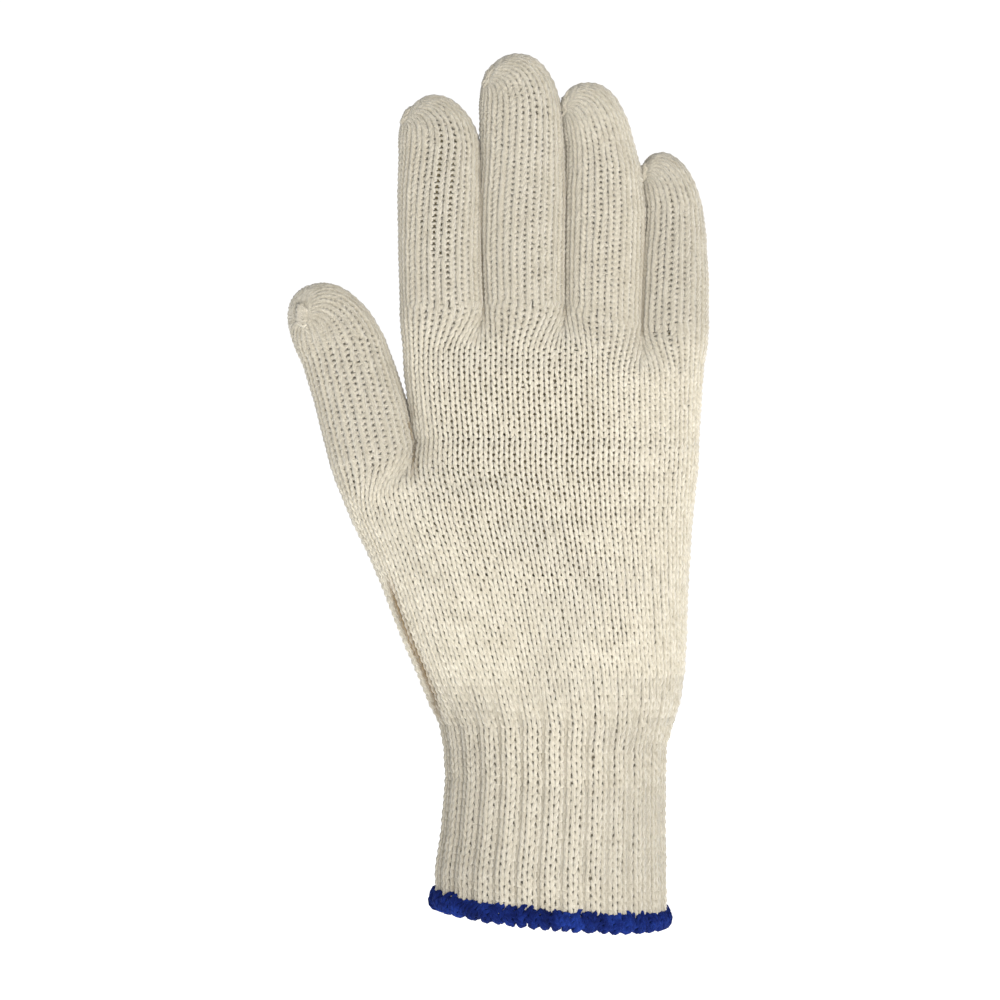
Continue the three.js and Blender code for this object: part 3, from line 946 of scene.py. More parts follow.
def wall_mesh(name: str, rings: list[tuple[Array, Array, Array]], closed_tip: bool, outer: bpy.types.Material,
              inner: bpy.types.Material) -> bpy.types.Object:
    """The body of the fabric behind the loops: a closed thin wall.

    Args:
        name: The object's name.
        rings: Outer and inner ring of points at each level, from one open end to the other, and how far the
            knitting stands open at each point, which goes to the mesh as the attribute open.
        closed_tip: Whether the last level closes on a point.
        outer: Finish of the side behind the loops.
        inner: Finish of the inside and of the open ends.

    Returns:
        The object.
    """
    mesh = bmesh.new()
    opened = mesh.verts.layers.float.new("open")
    n = len(rings[0][0])
    skins = []
    for k in (0, 1):
        skins.append([[mesh.verts.new(p) for p in level[k]] for level in rings])
        for ring, level in zip(skins[k], rings):
            for vert, value in zip(ring, level[2]):
                vert[opened] = value

    def face(index: int, *corners: bmesh.types.BMVert) -> None:
        """Adds a smooth face with a material."""
        made = mesh.faces.new(corners)
        made.material_index = index
        made.smooth = True

    def strip(a: list[bmesh.types.BMVert], b: list[bmesh.types.BMVert], index: int) -> None:
        """Joins two rings by faces."""
        for i in range(n):
            face(index, a[i], a[(i + 1) % n], b[(i + 1) % n], b[i])

    for k, skin in enumerate(skins):
        for a, b in zip(skin, skin[1:]):
            strip(a, b, k)
        if closed_tip:
            tip = mesh.verts.new(np.mean([v.co[:] for v in skin[-1]], axis=0))
            for i in range(n):
                face(k, skin[-1][i], skin[-1][(i + 1) % n], tip)
    for end in (0,) if closed_tip else (0, -1):
        strip(skins[0][end], skins[1][end], 1)
    bmesh.ops.recalc_face_normals(mesh, faces=mesh.faces)
    data = bpy.data.meshes.new(name)
    mesh.to_mesh(data)
    mesh.free()
    data.materials.append(outer)
    data.materials.append(inner)
    return placed(name, data)


def joined(name: str, parts: list[bpy.types.Object]) -> bpy.types.Object:
    """Joins objects at the origin into one mesh, with their materials."""
    bpy.ops.object.select_all(action="DESELECT")
    for part in parts:
        part.select_set(True)
    bpy.context.view_layer.objects.active = parts[0]
    bpy.ops.object.join()
    parts[0].name = name
    parts[0].data.name = name
    return parts[0]


class Finish(Nodes):
    """A material with one Principled shader."""

    def __init__(self, name: str) -> None:
        """Makes the material."""
        self.material = bpy.data.materials.new(name)
        self.material.use_nodes = True
        super().__init__(self.material.node_tree)
        self.shader = self.tree.nodes["Principled BSDF"]
        self.place = self.node("ShaderNodeTexCoord").outputs["Object"]

    def attribute(self, name: str) -> bpy.types.NodeSocket:
        """Reads a number stored on the mesh."""
        return self.node("ShaderNodeAttribute", attribute_name=name).outputs["Fac"]

    def noise(self, scale: float, detail: float = 2.0) -> bpy.types.NodeSocket:
        """Noise on the piece's own coordinates."""
        node = self.wire(self.node("ShaderNodeTexNoise"), Scale=scale, Detail=detail, Vector=self.place)
        return node.outputs["Fac"]

    def ramp(self, fac: object, *stops: tuple[float, Colour]) -> bpy.types.NodeSocket:
        """A colour for each value, from two or more stops of place and colour."""
        node = self.wire(self.node("ShaderNodeValToRGB"), Fac=fac)
        band = node.color_ramp.elements
        while len(band) < len(stops):
            band.new(0.5)
        for element, (at, colour) in zip(band, stops):
            element.position = at
            element.color = (*colour, 1.0)
        return node.outputs["Color"]

    def darkened(self, fac: object, body: object, by: object) -> bpy.types.NodeSocket:
        """A colour multiplied by another one, by a share of it."""
        node = self.node("ShaderNodeMix", data_type="RGBA", blend_type="MULTIPLY")
        by = (*by, 1.0) if isinstance(by, tuple) else by
        for socket, value in zip([s for s in node.inputs if s.enabled], (fac, body, by)):
            self.join(socket, value)
        return next(s for s in node.outputs if s.enabled)

    def bump(self, height: object, distance: float) -> None:
        """Relief on the shader's normal."""
        node = self.wire(self.node("ShaderNodeBump"), Distance=distance, Strength=1.0, Height=height)
        self.wire(self.shader, Normal=node.outputs["Normal"])


@dataclass(frozen=True)
class YarnFinish:
    """A spun yarn of twisted strands.

    Attributes:
        name: The material's name.
        light: Colour of the yarn's crests.
        mean: Its middle colour.
        dark: Colour of its darker lengths.
        strands: Strands round the yarn.
        lay: Length of one turn of the twist.
        relief: Depth of the grooves between the strands.
        sheen: Weight of the soft sheen of loose fibres.
        tint: Colour of that sheen.
        painted_shading: Share of the colour that is left where the painted shade is full.
        crease_shadow_tint: Share of it that is left in the painted shadow at the bottom of a crease.
        between_hairs: Share of it that is left in the painted shade between the hairs.
        between_strands: Share of it that is left in the painted shade between the strands.
    """

    name: str
    light: Colour
    mean: Colour
    dark: Colour
    strands: float
    lay: float
    relief: float
    sheen: float
    tint: Colour = WHITE
    painted_shading: Colour = (0.7, 0.69, 0.675)
    crease_shadow_tint: Colour = (0.52, 0.4, 0.25)
    between_hairs: Colour = (0.72, 0.7, 0.66)
    between_strands: Colour = (0.78, 0.77, 0.74)

    def make(self) -> bpy.types.Material:
        """Builds the material."""
        f = Finish(self.name)
        twist = f.times(f.attribute("along"), 2 * math.pi / self.lay)
        start = f.times(f.attribute("around"), 2 * math.pi * self.strands)
        groove = f.math("SINE", f.math("ADD", twist, start))
        patches, lengths, fibre = f.noise(70.0, 3.0), f.noise(260.0, 2.0), f.noise(3800.0, 3.0)
        shade = f.math("ADD", f.times(patches, 0.25), f.times(lengths, 0.75))
        body = f.ramp(shade, (0.32, self.dark), (0.5, self.mean), (0.66, self.light))
        # Painted shade between the hairs.
        body = f.darkened(0.55, body, f.ramp(fibre, (0.3, self.between_hairs), (0.62, WHITE)))
        # Painted shade in the grooves between the strands.
        rounded = f.math("MULTIPLY_ADD", groove, 0.5, 0.5)
        body = f.darkened(0.5, body, f.ramp(rounded, (0.0, self.between_strands), (0.5, WHITE)))
        # Painted shade, by the amount stored on the mesh.
        body = f.darkened(f.attribute("tone"), body, self.painted_shading)
        # Painted shadow in the creases.
        body = f.darkened(f.attribute("fold"), body, self.crease_shadow_tint)
        f.bump(f.math("ADD", f.times(groove, 0.6), f.times(fibre, 1.2)), self.relief)
        f.wire(f.shader, Base_Color=body, Roughness=0.92, Diffuse_Roughness=1.0, Specular_IOR_Level=0.1,
               Sheen_Weight=self.sheen, Sheen_Roughness=0.5, Sheen_Tint=(*self.tint, 1.0))
        return f.material


@dataclass(frozen=True)
class WallFinish:
    """The flat side of the fabric, with the ridges of the back of the stitches and painted shade between
    them.

    Attributes:
        name: The material's name.
        light: Colour of the ridges.
        dark: Colour between them, painted shade.
        ridge: Height of one row of ridges.
        hole_shade: Share of the colour that is left where the knitting stands fully open, as painted shade in
            the holes.
        between_hairs: Share of it that is left in the painted shade between the hairs.
        aspect: Width of a ridge as a share of its height.
        relief: Depth between the ridges.
    """

    name: str
    light: Colour
    dark: Colour
    ridge: float
    hole_shade: Colour = WHITE
    between_hairs: Colour = (0.75, 0.74, 0.7)
    aspect: float = 1.4
    relief: float = 0.25 * MM

    def make(self) -> bpy.types.Material:
        """Builds the material."""
        f = Finish(self.name)
        split = f.wire(f.node("ShaderNodeSeparateXYZ"), Vector=f.place)
        height = f.times(split.outputs["Z"], 2 * math.pi / self.ridge)
        rows = f.math("SINE", f.math("ADD", height, f.times(f.noise(180.0), 5.0)))
        columns = f.math("SINE", f.times(split.outputs["X"], 2 * math.pi / (self.ridge * self.aspect)))
        ridges = f.math("ADD", rows, f.times(columns, 0.6))
        # Painted shade between the ridges.
        body = f.ramp(f.math("MULTIPLY_ADD", ridges, 0.3, 0.5), (0.1, self.dark), (0.8, self.light))
        # Painted shade between the hairs.
        body = f.darkened(0.6, body, f.ramp(f.noise(3000.0, 3.0), (0.3, self.between_hairs), (0.65, WHITE)))
        # Painted shade in the holes, darker where the knitting stands open.
        body = f.darkened(f.attribute("open"), body, self.hole_shade)
        f.bump(f.math("ADD", ridges, f.noise(2400.0)), self.relief)
        f.wire(f.shader, Base_Color=body, Roughness=0.95, Specular_IOR_Level=0.1)
        return f.material


@dataclass
class Finishes:
    """Every material of the glove.

    Attributes:
        knit: The yarn.
        shade: The fabric that shows between the loops, painted darker than the yarn as the shade in the
            holes.
        inside: The inside of the glove.
        thread: The hem's overedge thread.
    """

    knit: bpy.types.Material = field(init=False)
    shade: bpy.types.Material = field(init=False)
    inside: bpy.types.Material = field(init=False)
    thread: bpy.types.Material = field(init=False)

    def __post_init__(self) -> None:
        """Builds them."""
        self.knit = YarnFinish("CreamYarn", (0.87, 0.825, 0.71), (0.83, 0.783, 0.665), (0.77, 0.72, 0.6),
                               2.0, 2.6 * MM, 0.12 * MM, 0.5).make()
        self.shade = WallFinish("FabricAndShadeBetweenLoops", (0.66, 0.61, 0.5), (0.52, 0.47, 0.37), 1.6 * MM,
                                (0.5, 0.46, 0.32)).make()
        self.inside = WallFinish("FabricInside", (0.7, 0.65, 0.54), (0.42, 0.38, 0.3), 1.8 * MM).make()
        self.thread = YarnFinish("BlueThread", (0.016, 0.047, 0.31), (0.007, 0.019, 0.155),
                                 (0.004, 0.01, 0.088), 3.0, 1.4 * MM, 0.25 * MM, 0.12,
                                 (0.12, 0.25, 1.0)).make()


@dataclass(frozen=True)
class Rib:
    """A two-by-one rib: of every three wales, the third sinks into a groove.

    Attributes:
        courses: The courses between which it forms.
        depth: Depth of its grooves.
        shallower: Share of that depth that is lost towards the right side, from shallow_start on.
        knit_width: Width of a knit wale in the full rib, with purl_width for a purl wale.
        flat: Share of a rib that is flat before it falls into the groove.
        close: How far the wales beside a groove draw together, over close_reach wales.
    """

    courses: tuple[float, float]
    depth: float = 1.2 * MM
    shallower: float = 0.55
    shallow_start: float = 0.45
    shallow_length: float = 0.4
    knit_width: float = 1.28
    purl_width: float = 0.44
    flat: float = 0.35
    close: float = 0.1
    close_reach: float = 0.42

    def formed(self, course: float) -> float:
        """How far the rib has formed at a course: 0 is plain knitting and 1 the full rib."""
        first, last = self.courses
        return float(ease(np.array((course - first) / (last - first))))

    def widths(self, wales: int, course: float) -> Array:
        """Width of each wale: in the rib, knit wales are wide and purl wales narrow."""
        purl = np.arange(wales) % RIB_PERIOD == RIB_PERIOD - 1
        return mix(1.0, np.where(purl, self.purl_width, self.knit_width), self.formed(course))

    def sink(self, wale: Array, rightward: Array, course: float) -> Array:
        """How far the grooves lie inside the skin.

        Args:
            wale: Places round the section, in wales.
            rightward: 0 at the left side and 1 at the right side.
            course: The course.

        Returns:
            Depths in metres: each rib is round, with the groove over the purl wale.
        """
        aside = np.abs(wale % RIB_PERIOD - self.knit_width)
        aside = np.minimum(aside, RIB_PERIOD - aside) / (self.knit_width + self.purl_width / 2)
        lost = self.shallower * ease((rightward - self.shallow_start) / self.shallow_length)
        depth = self.depth * (1 - lost)
        return depth * self.formed(course) * ease((aside - self.flat) / (1 - self.flat))

    def closing(self, wale: Array, course: float) -> Array:
        """How far the wales draw together at the grooves, as a share of a wale."""
        period = wale % RIB_PERIOD
        aside = np.minimum(period, RIB_PERIOD - period)
        return self.close * self.formed(course) * bell(aside / self.close_reach)


@dataclass(frozen=True)
class Rosette:
    """The first loops of a fingertip, drawn together over the opening that the last course leaves.

    Attributes:
        points: Points in each of its two strands.
        petals: Waves of the outer strand.
        petal_place: How far out that strand lies, as a share of the opening, with petal_wave as its sway.
        petal_inset: How deep it lies, in radii of the yarn.
        petal_swell: Its thickness, as a share of the yarn's.
        waves: Waves of the inner strand.
        forth: Share of that strand that waves, before it runs straight back below.
        length: Its length.
        sway: Its width, as a share of its length.
        under: How deep its straight part lies, in radii of the yarn.
        fold: How dark the painted shadow on both is, with tone for more painted shade on both.
    """

    points: int = 60
    petals: int = 6
    petal_place: float = 0.8
    petal_wave: float = 0.45
    petal_inset: float = 0.6
    petal_swell: float = 0.95
    waves: int = 4
    forth: float = 0.8
    length: float = 5.6 * MM
    sway: float = 0.3
    under: float = 0.9
    fold: float = 0.05
    tone: float = 0.35

    def add(self, lines: Lines, surface: Surface, opening: float, yarn: float, gather: float) -> None:
        """Adds both strands.

        Args:
            lines: The lines of the section.
            surface: The skin of the tube.
            opening: Share of the tube that the last course leaves.
            yarn: Radius of the yarn.
            gather: Size of the inner strand, where 1 is the thumb's.
        """
        t = np.linspace(0, 1, self.points, endpoint=False)
        wave = np.cos(2 * np.pi * self.petals * t)
        petal = self.petal_place + self.petal_wave * wave
        outer = surface(t, 1.0 - opening * petal, yarn * self.petal_inset)
        ring = surface(np.arange(4) / 4, np.full(4, 1.0 - opening), 0.0)
        up, aside = unit(ring[2] - ring[0]), unit(ring[3] - ring[1])
        centre = np.mean(ring, axis=0)
        out = unit(surface(np.zeros(1), np.ones(1), 0.0)[0] - centre)
        back = t > self.forth
        along = np.where(back, (1 - t) / (1 - self.forth), t / self.forth) - 0.5
        swing = np.where(back, 0.0, np.cos(2 * np.pi * self.waves * t / self.forth))
        height = np.where(back, -self.under, 1.5 * gather - 0.8 - 0.45 * np.abs(swing)) * yarn
        size = self.length * gather
        spread = up * along[:, None] + aside * swing[:, None] * self.sway
        inner = centre + spread * size + out * height[:, None]
        still, flat = np.zeros((self.points, 3)), np.zeros(self.points)
        for path, swell in ((outer, self.petal_swell), (inner, 0.8 + 0.45 * gather)):
            lines.add(path, across=still, down=still, out=still, turn=flat, swell=flat + swell, gap=flat,
                      slope=flat, fold=flat + self.fold, tone=flat + self.tone)


@dataclass
class KnitSection:
    """A section of knitting laid on a surface.

    Attributes:
        name: The piece's name.
        node: The CAD node that it stands for.
        form: The hand's form.
        surface: The skin, as a function of the place round, the share of the courses, and the inset.
        wales: Stitches round it.
        courses: Rows of stitches in it.
        span: First and last share of the surface that it covers.
        seed: Seed of the yarn's unevenness.
        tube: The finger or thumb whose shares run up to its tip, or None for the hand, where they run down.
        stitch: The loop.
        slot: The record's material slot; not used.
        turns: Whether the surface counts the place round in turns and not in wales.
        rib: The rib, where it has one.
        wall: How far the outside and the inside of the fabric behind the loops lie inside the skin.
        wall_steps: Points of that fabric in each wale.
        jitter: How unevenly the wales stand apart, as a share of a wale.
        half_step: Distance to either side at which the surface's slope is read, in wales or courses.
        thickness: Thickness of the yarn in closed and in open knitting, as a share of the stitch's own.
        squeezed: Least share of it that is left where wales crowd, in plain knitting and in the rib.
        full_width: Width of a wale, in radii of the yarn, that leaves the yarn its thickness.
        open_pinch: Share by which the loops' ends are thinner in open knitting, with dropped_pinch for all of
            a dropped loop.
        ladder_scale: Gap at which a ladder stands fully open.
        ladder_reach: How far a ladder's gap reaches, and how far its openness does, in wales.
        ladder_fade: Exponent of its fading towards the ends of the section.
        groove_shade: How dark the painted shade at the bottom of a rib's groove is.
    """

    name: str
    node: str
    form: HandForm
    surface: Surface
    wales: int
    courses: int
    span: tuple[float, float]
    seed: float
    tube: Tube | None = None
    stitch: Stitch = HAND_STITCH
    slot: Slot = Slot.KNIT
    turns: bool = False
    rib: Rib | None = None
    wall: tuple[float, float] = (1.75 * MM, 2.3 * MM)
    wall_steps: int = 3
    jitter: float = 0.03
    half_step: float = 0.3
    thickness: tuple[float, float] = (1.21, 1.02)
    squeezed: tuple[float, float] = (0.5, 0.85)
    full_width: float = 2.6
    open_pinch: float = 0.28
    dropped_pinch: float = 0.45
    ladder_scale: float = 0.12
    ladder_reach: tuple[float, float] = (0.5, 0.6)
    ladder_fade: float = 0.7
    groove_shade: float = 0.5

    def skin(self, wale: Array, course: Array, inset: float) -> Array:
        """A point of the skin at a wale and a course."""
        share = mix(self.span[0], self.span[1], course / self.courses)
        return self.surface(wale / self.wales if self.turns else wale, share, inset)

    def edges(self, course: float) -> Array:
        """Where each wale starts, and where the last one ends."""
        widths = self.rib.widths(self.wales, course) if self.rib else np.ones(self.wales)
        edges = np.concatenate([[0], np.cumsum(widths)])
        return edges * self.wales / edges[-1]

    def sink(self, wale: Array, course: float) -> Array:
        """How far the rib's grooves lie inside the skin."""
        rightward = 1 - np.abs(1 - 2 * (wale % self.wales) / self.wales)
        return self.rib.sink(wale, rightward, course) if self.rib else np.zeros(wale.shape)

    def blended(self, size: str, points: Array) -> Array:
        """A size of the loop near the neighbouring sections, as a share of the section's own.

        Args:
            size: The size's name in Stitch.
            points: Points in metres.

        Returns:
            One share for each point.
        """
        own = getattr(self.stitch, size)
        if self.stitch is not HAND_STITCH:
            return np.ones(len(points))
        towards_tube = mix(1.0, getattr(FINGER_STITCH, size) / own, self.form.fingerlike(points))
        return mix(towards_tube, getattr(CUFF_STITCH, size) / own, self.form.cufflike(points[..., 2]))

    def swell(self, across: Array, course: float) -> Array:
        """Share of the yarn's full thickness where a wale has a given width: crowded wales squeeze it."""
        least = mix(*self.squeezed, self.rib.formed(course) if self.rib else 0.0)
        return np.clip(np.linalg.norm(across, axis=1) / (self.full_width * self.stitch.yarn), least, 1.0)

    def ladders(self, wale: Array, course: float, reach: float) -> list[Array]:
        """How far each ladder spreads the wales, as a share of a wale: most in the middle of the section."""
        middling = math.sin(math.pi * min(max(course / self.courses, 0.0), 1.0)) ** self.ladder_fade
        marks = self.tube.ladders if self.tube else ()
        return [width * middling * bell((wale - place) / reach) for place, width in marks]

    def openness(self, points: Array, wale: Array, course: float) -> Array:
        """How far the knitting stands open at points of the section, from 0 to 1."""
        opened = (self.tube.opening if self.tube else 1.0) * self.form.openness(points)
        ladders = self.ladders(wale, course, self.ladder_reach[1])
        return np.clip(sum((ladder / self.ladder_scale for ladder in ladders), opened), 0.0, 1.0)

    def gap(self, wale: Array, course: float) -> Array:
        """How far neighbouring wales stand apart, in wales: at random, and more at the ladders."""
        chance = np.random.default_rng((int(self.seed), int(course)))
        gap = np.repeat(chance.normal(0.0, self.jitter, self.wales), self.stitch.steps)
        if self.rib:
            gap -= self.rib.closing(wale, course)
        return sum(self.ladders(wale, course, self.ladder_reach[0]), gap)

    def course_line(self, lines: Lines, course: float) -> None:
        """Adds one course to the lines.

        Args:
            lines: The lines of the section.
            course: Its place, in courses from the start.
        """
        steps, yarn, step = self.stitch.steps, self.stitch.yarn, self.half_step
        edges = self.edges(course)
        stitch = np.repeat(np.arange(self.wales), steps)
        part = np.tile(np.arange(steps) / steps, self.wales)
        width = edges[stitch + 1] - edges[stitch]
        wale = edges[stitch] + part * width
        inset = yarn + self.stitch.depth
        level = np.full(wale.shape, course)
        here = self.skin(wale, level, inset)
        across = (self.skin(wale + step, level, inset) - self.skin(wale - step, level, inset)) / (2 * step)
        down = (self.skin(wale, level + step, inset) - self.skin(wale, level - step, inset)) / (2 * step)
        if self.tube:
            down = -down
        out = np.cross(down, across)
        out /= np.linalg.norm(out, axis=1, keepdims=True)
        across = across * width[:, None]
        opened = self.openness(here, wale, course)
        pinch = self.open_pinch * opened * np.cos(2 * np.pi * part) ** 2
        fullness = mix(*self.thickness, opened) * (1 - pinch - self.dropped_pinch * self.form.dropped(here))
        sink = self.sink(wale, course)
        # Painted shade: darker on the fingers, at the cuff's sides and bottom, and at the right side.
        tone = self.form.tone(here)
        # More painted shade at the bottom of the rib's grooves.
        if self.rib:
            tone = tone + self.groove_shade * sink / self.rib.depth
        lines.add(here - out * sink[:, None], across=across, down=down * self.blended("reach", here)[:, None],
                  out=out, turn=2 * np.pi * part, gap=self.gap(wale, course) + self.form.parting(here),
                  swell=self.swell(across, course) * fullness * self.blended("yarn", here),
                  slope=self.blended("lean", here), fold=self.form.folds(here), tone=tone)

    def fabric(self, finishes: Finishes) -> bpy.types.Object:
        """The fabric's body behind the loops."""
        wale = np.arange(self.wales * self.wall_steps) / self.wall_steps
        rings = []
        for course in np.linspace(0, self.courses, max(3, self.courses // 2 + 1)):
            level = np.full(wale.shape, course)
            outer, inner = (self.skin(wale, level, depth + self.sink(wale, course)) for depth in self.wall)
            rings.append((outer, inner, self.openness(outer, wale, course)))
        return wall_mesh(f"{self.name}_wall", rings, self.tube is not None, finishes.shade, finishes.inside)

    def yarn(self, tree: bpy.types.NodeTree, finish: bpy.types.Material) -> bpy.types.Object:
        """The section's loops."""
        lines = Lines()
        for course in range(self.courses):
            self.course_line(lines, course + 0.5)
        s = self.stitch
        if self.tube:
            Rosette().add(lines, self.surface, 1.0 - self.span[1], s.yarn, self.tube.gather)
        return run_tree(lines.mesh(f"{self.name}_lines"), tree, f"{self.name}_yarn", Lean=s.lean,
                        Reach=s.reach, Depth=s.depth, Yarn_Radius=s.yarn, Unevenness=s.unevenness,
                        Sides=s.sides, Seed=self.seed, Yarn=finish)

    def build(self, tree: bpy.types.NodeTree, finishes: Finishes) -> None:
        """Makes the piece, hangs it on the body and hides the CAD part that it stands for.

        Args:
            tree: The loops' Geometry Nodes.
            finishes: The glove's materials.
        """
        piece = joined(self.name, [self.yarn(tree, finishes.knit), self.fabric(finishes)])
        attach(piece, BODY)
        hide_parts(self.node)
        log.info("%s: %d faces", self.name, len(piece.data.polygons))


@dataclass
class Hem:
    """The overedge thread round the cuff's raw edge: two threads that cross as they wrap it.

    Attributes:
        form: The hand's form.
        threads: Lean of a wrap on its way up the outside and start, both in wraps, and wraps round the edge.
        scallops: Lumps round the edge.
        scallop_spread: Least and most width of a lump before they are evened out.
        gathering: How far the wraps are drawn towards the middle of their lump, as a share of it.
        bulge: Exponent of a lump's outline.
        steps: Points of the thread in each wrap.
        half_thickness: How far the thread's path lies outside and inside the edge.
        climb: How far up the cuff the wraps go.
        drop: How far below the edge they go.
        bite: How much further up the longest one goes.
        radius: Radius of the thread.
        lumps: How far it strays and swells.
        wall_middle: How far the edge's middle lies inside the skin.
        low: Height at which the cuff's outline is read.
        sides: Faces round the thread.
        seed: Seed of the first thread, with lump_seed for the lumps.
    """

    form: HandForm
    threads: tuple[tuple[float, float, int], ...] = ((1.0, 0.0, 118), (-0.8, 0.5, 103))
    scallops: int = 46
    scallop_spread: tuple[float, float] = (0.6, 1.4)
    gathering: float = 0.09
    bulge: float = 0.8
    steps: int = 12
    half_thickness: float = 1.7 * MM
    climb: float = 2.0 * MM
    drop: float = 2.3 * MM
    bite: float = 1.3 * MM
    radius: float = 0.72 * MM
    lumps: float = 0.42 * MM
    wall_middle: float = 1.15 * MM
    low: float = 4.0 * MM
    sides: int = 7
    seed: int = 3
    lump_seed: int = 8

    def line(self, slant: float, start: float, wraps: int) -> Lines:
        """One thread's line round the edge.

        Args:
            slant: How far a wrap leans on its way up the outside, in wraps.
            start: Where it starts, in wraps.
            wraps: Wraps round the whole edge.

        Returns:
            The lines, with that one line.
        """
        wrap = np.arange(wraps * self.steps) / self.steps
        turn = 2 * np.pi * wrap
        around = (wrap + start + slant * np.sin(turn)) / wraps
        around = around + self.gathering / self.scallops * np.sin(2 * np.pi * self.part(around))
        low = np.full(wrap.shape, self.low)
        middle = self.form.cuff_wall(around, low, self.wall_middle)
        outer = self.form.cuff_wall(around, low, self.wall_middle - MM)
        out = (outer - middle) / MM
        middle[:, 2] = self.form.edge_height(middle[:, 0], middle[:, 1])
        lump = np.abs(np.sin(np.pi * self.part(around))) ** self.bulge
        lines = Lines()
        lines.add(middle, out=out, turn=turn, wrap=np.floor(wrap), lump=lump)
        return lines

    def part(self, around: Array) -> Array:
        """How many of the uneven lumps round the edge lie before a place on it."""
        chance = np.random.default_rng(self.lump_seed)
        starts = np.concatenate([[0], np.cumsum(chance.uniform(*self.scallop_spread, self.scallops))])
        return np.interp(around % 1.0, starts / starts[-1], np.arange(self.scallops + 1))

    def build(self, finishes: Finishes) -> None:
        """Makes the piece, hangs it on the body and hides the CAD part that it stands for.

        Args:
            finishes: The glove's materials.
        """
        tree = wrap_tree()
        threads = [run_tree(self.line(*thread).mesh(f"hem_line_{k}"), tree, f"hem_thread_{k}",
                            Half_Thickness=self.half_thickness, Climb=self.climb, Drop=self.drop,
                            Longest_Bite=self.bite, Thread_Radius=self.radius, Lumpiness=self.lumps,
                            Sides=self.sides, Seed=self.seed + k, Thread=finishes.thread)
                   for k, thread in enumerate(self.threads)]
        piece = joined("hem_overedge", threads)
        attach(piece, BODY)
        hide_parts("hem")
        log.info("hem_overedge: %d faces", len(piece.data.polygons))


@dataclass(frozen=True)
class SoftLight:
    """A square soft light that points at the middle of the glove.

    Attributes:
        name: Its name.
        place: Where it stands, in metres.
        size: Its width in metres.
        power: Its power in watts.
        colour: Its colour.
        target: What it points at.
    """

    name: str
    place: tuple[float, float, float]
    size: float
    power: float
    colour: Colour
    target: tuple[float, float, float] = (0.0, 0.0, 0.13)

    def build(self) -> None:
        """Makes the light."""
        data = bpy.data.lights.new(self.name, "AREA")
        data.size, data.energy, data.color = self.size, self.power, self.colour
        made = placed(self.name, data)
        made.location = self.place
        made.rotation_euler = (Vector(self.target) - Vector(self.place)).to_track_quat("-Z", "Y").to_euler()


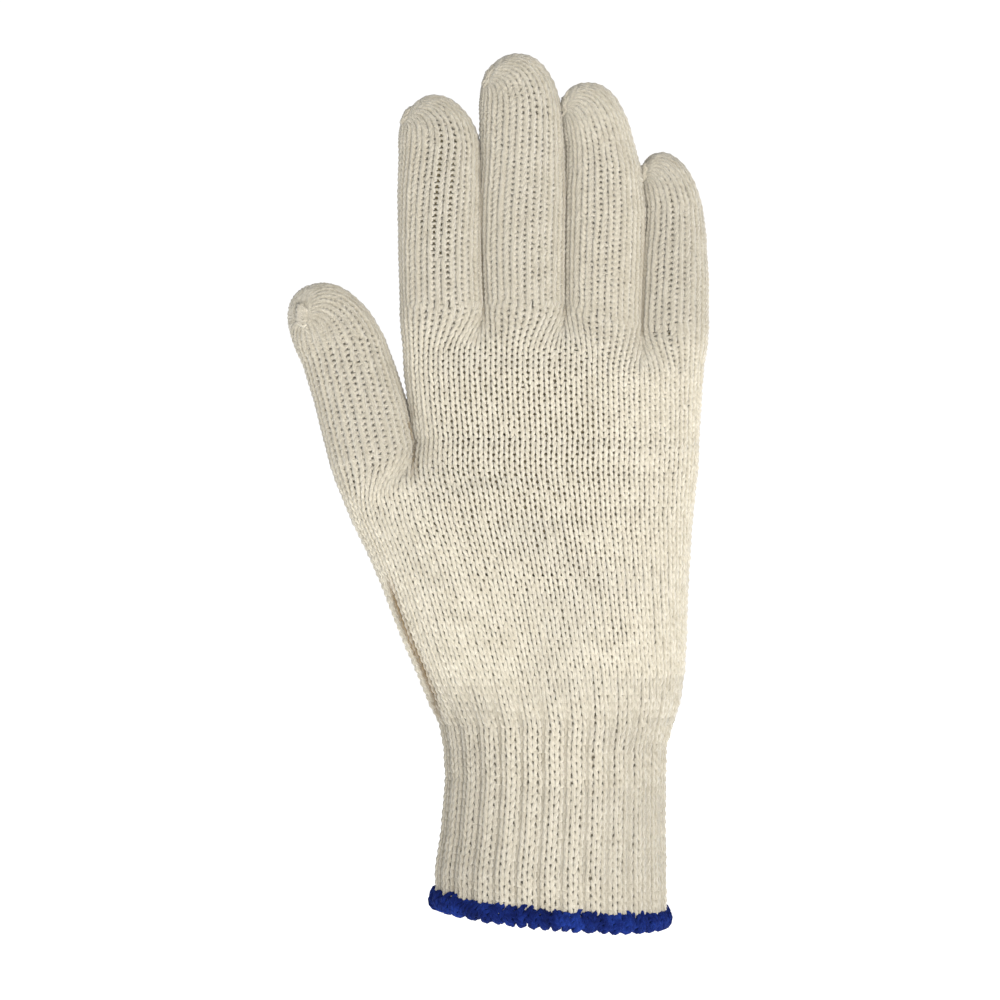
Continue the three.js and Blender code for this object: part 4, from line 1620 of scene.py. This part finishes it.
@dataclass(frozen=True)
class Studio:
    """Camera, lights and stage.

    Attributes:
        pixel: Size of one of the picture's pixels at the glove.
        picture: The picture's width in pixels.
        origin_px: Where the origin stands in it, from the left and from the top.
        distance: From the camera to the glove, in metres.
        sensor: The camera's sensor in millimetres.
        lights: The lights.
        daylight: Colour and strength of the surroundings as light.
        paper: Their colour and strength to the camera.
        floor_half: Half of the floor's width in metres.
        floor_z: Its height in metres.
    """

    pixel: float = 0.29 * MM
    picture: int = 1000
    origin_px: tuple[float, float] = (551.0, 925.4)
    distance: float = 1.05
    sensor: float = 36.0
    lights: tuple[SoftLight, ...] = (SoftLight("key", (0.24, -0.75, 0.18), 0.55, 3.3, (1.0, 0.975, 0.94)),
                                     SoftLight("fill", (-0.9, -0.8, 0.3), 0.9, 0.42, (0.92, 0.96, 1.0)))
    daylight: tuple[Colour, float] = ((0.97, 0.98, 1.0), 0.425)
    paper: tuple[Colour, float] = (WHITE, 1.05)
    floor_half: float = 3.0
    floor_z: float = -0.12

    def camera(self) -> None:
        """Level with the middle of the picture, looking along +Y."""
        data = bpy.data.cameras.new("camera")
        data.sensor_width = self.sensor
        data.lens = self.sensor * self.distance / (self.picture * self.pixel)
        data.clip_start, data.clip_end = 0.05, 20.0
        made = placed("camera", data)
        middle = self.picture / 2
        made.location = ((middle - self.origin_px[0]) * self.pixel, -self.distance,
                         (self.origin_px[1] - middle) * self.pixel)
        made.rotation_euler = (math.pi / 2, 0, 0)
        bpy.context.scene.camera = made

    def world(self) -> None:
        """White surroundings, as bright as paper to the camera and softer as light."""
        world = bpy.data.worlds.new("studio")
        bpy.context.scene.world = world
        world.use_nodes = True
        world.node_tree.nodes.clear()
        n = Nodes(world.node_tree)
        soft, paper = (n.wire(n.node("ShaderNodeBackground"), Color=(*colour, 1.0), Strength=strength)
                       for colour, strength in (self.daylight, self.paper))
        seen = n.node("ShaderNodeLightPath").outputs["Is Camera Ray"]
        both = n.feed(n.node("ShaderNodeMixShader"), seen, soft, paper)
        n.wire(n.node("ShaderNodeOutputWorld"), Surface=both)

    def floor(self) -> None:
        """A plain white floor below the glove."""
        data = bpy.data.meshes.new("floor")
        corners = [(x * self.floor_half, y * self.floor_half, self.floor_z)
                   for x, y in ((-1, -1), (1, -1), (1, 1), (-1, 1))]
        data.from_pydata(corners, [], [(0, 1, 2, 3)])
        f = Finish("FloorPaper")
        f.wire(f.shader, Base_Color=(0.9, 0.9, 0.9, 1.0), Roughness=0.9, Emission_Color=(*WHITE, 1.0),
               Emission_Strength=0.95)
        data.materials.append(f.material)
        made = placed("floor", data)

    def build(self) -> None:
        """Sets the whole stage."""
        bpy.context.scene.view_settings.view_transform = "Standard"
        self.camera()
        self.world()
        self.floor()
        for light in self.lights:
            light.build()


@dataclass
class Glove:
    """The whole glove.

    Attributes:
        form: The hand's form.
        tube_span: First and last share of a tube that its courses cover.
        knuckle_courses: Rows of stitches over the knuckles, and so on for the palm, the heel and the cuff.
        cuff_end: Share of the cuff that its courses cover.
    """

    form: HandForm = field(default_factory=HandForm)
    tube_span: tuple[float, float] = (-0.006, 0.965)
    knuckle_courses: int = 21
    palm_courses: int = 20
    heel_courses: int = 19
    cuff_courses: int = 22
    cuff_end: float = 0.97

    def sections(self) -> list[KnitSection]:
        """Every knitted section, the tubes first and then from the knuckles down."""
        form = self.form
        made = [KnitSection(f"{tube.name}_knit", tube.name, form, form.tube(tube), tube.wales, tube.courses,
                            self.tube_span, 1.0 + k, tube, FINGER_STITCH, turns=True)
                for k, tube in enumerate((*FINGERS, THUMB))]
        split = self.palm_courses / (self.palm_courses + self.heel_courses)
        for name, surface, wales, courses, span, seed, rib in (
                ("knuckle_knit", form.knuckles, FINGER_WALES, self.knuckle_courses, (0.0, 1.0), 11.0, None),
                ("palm_knit", form.heel, HAND_WALES, self.palm_courses, (0.0, split), 12.0, None),
                ("heel_knit", form.heel, HAND_WALES, self.heel_courses, (split, 1.0), 13.0,
                 Rib((11.0, 22.0)))):
            made.append(KnitSection(name, "palm", form, surface, wales, courses, span, seed, rib=rib))
        made.append(KnitSection("cuff_rib", "cuff", form, form.cuff_course, HAND_WALES, self.cuff_courses,
                                (0.0, self.cuff_end), 14.0, None, CUFF_STITCH, Slot.RIB, True,
                                Rib((-8.0, 3.0))))
        return made

    def build(self) -> None:
        """Builds every piece."""
        finishes = Finishes()
        tree = loop_tree()
        for section in self.sections():
            section.build(tree, finishes)
        Hem(self.form).build(finishes)


def main() -> None:
    """Builds the stage and the glove."""
    logging.basicConfig(level=logging.INFO, format="%(message)s")
    Studio().build()
    Glove().build()


if __name__ == "__main__":
    main()
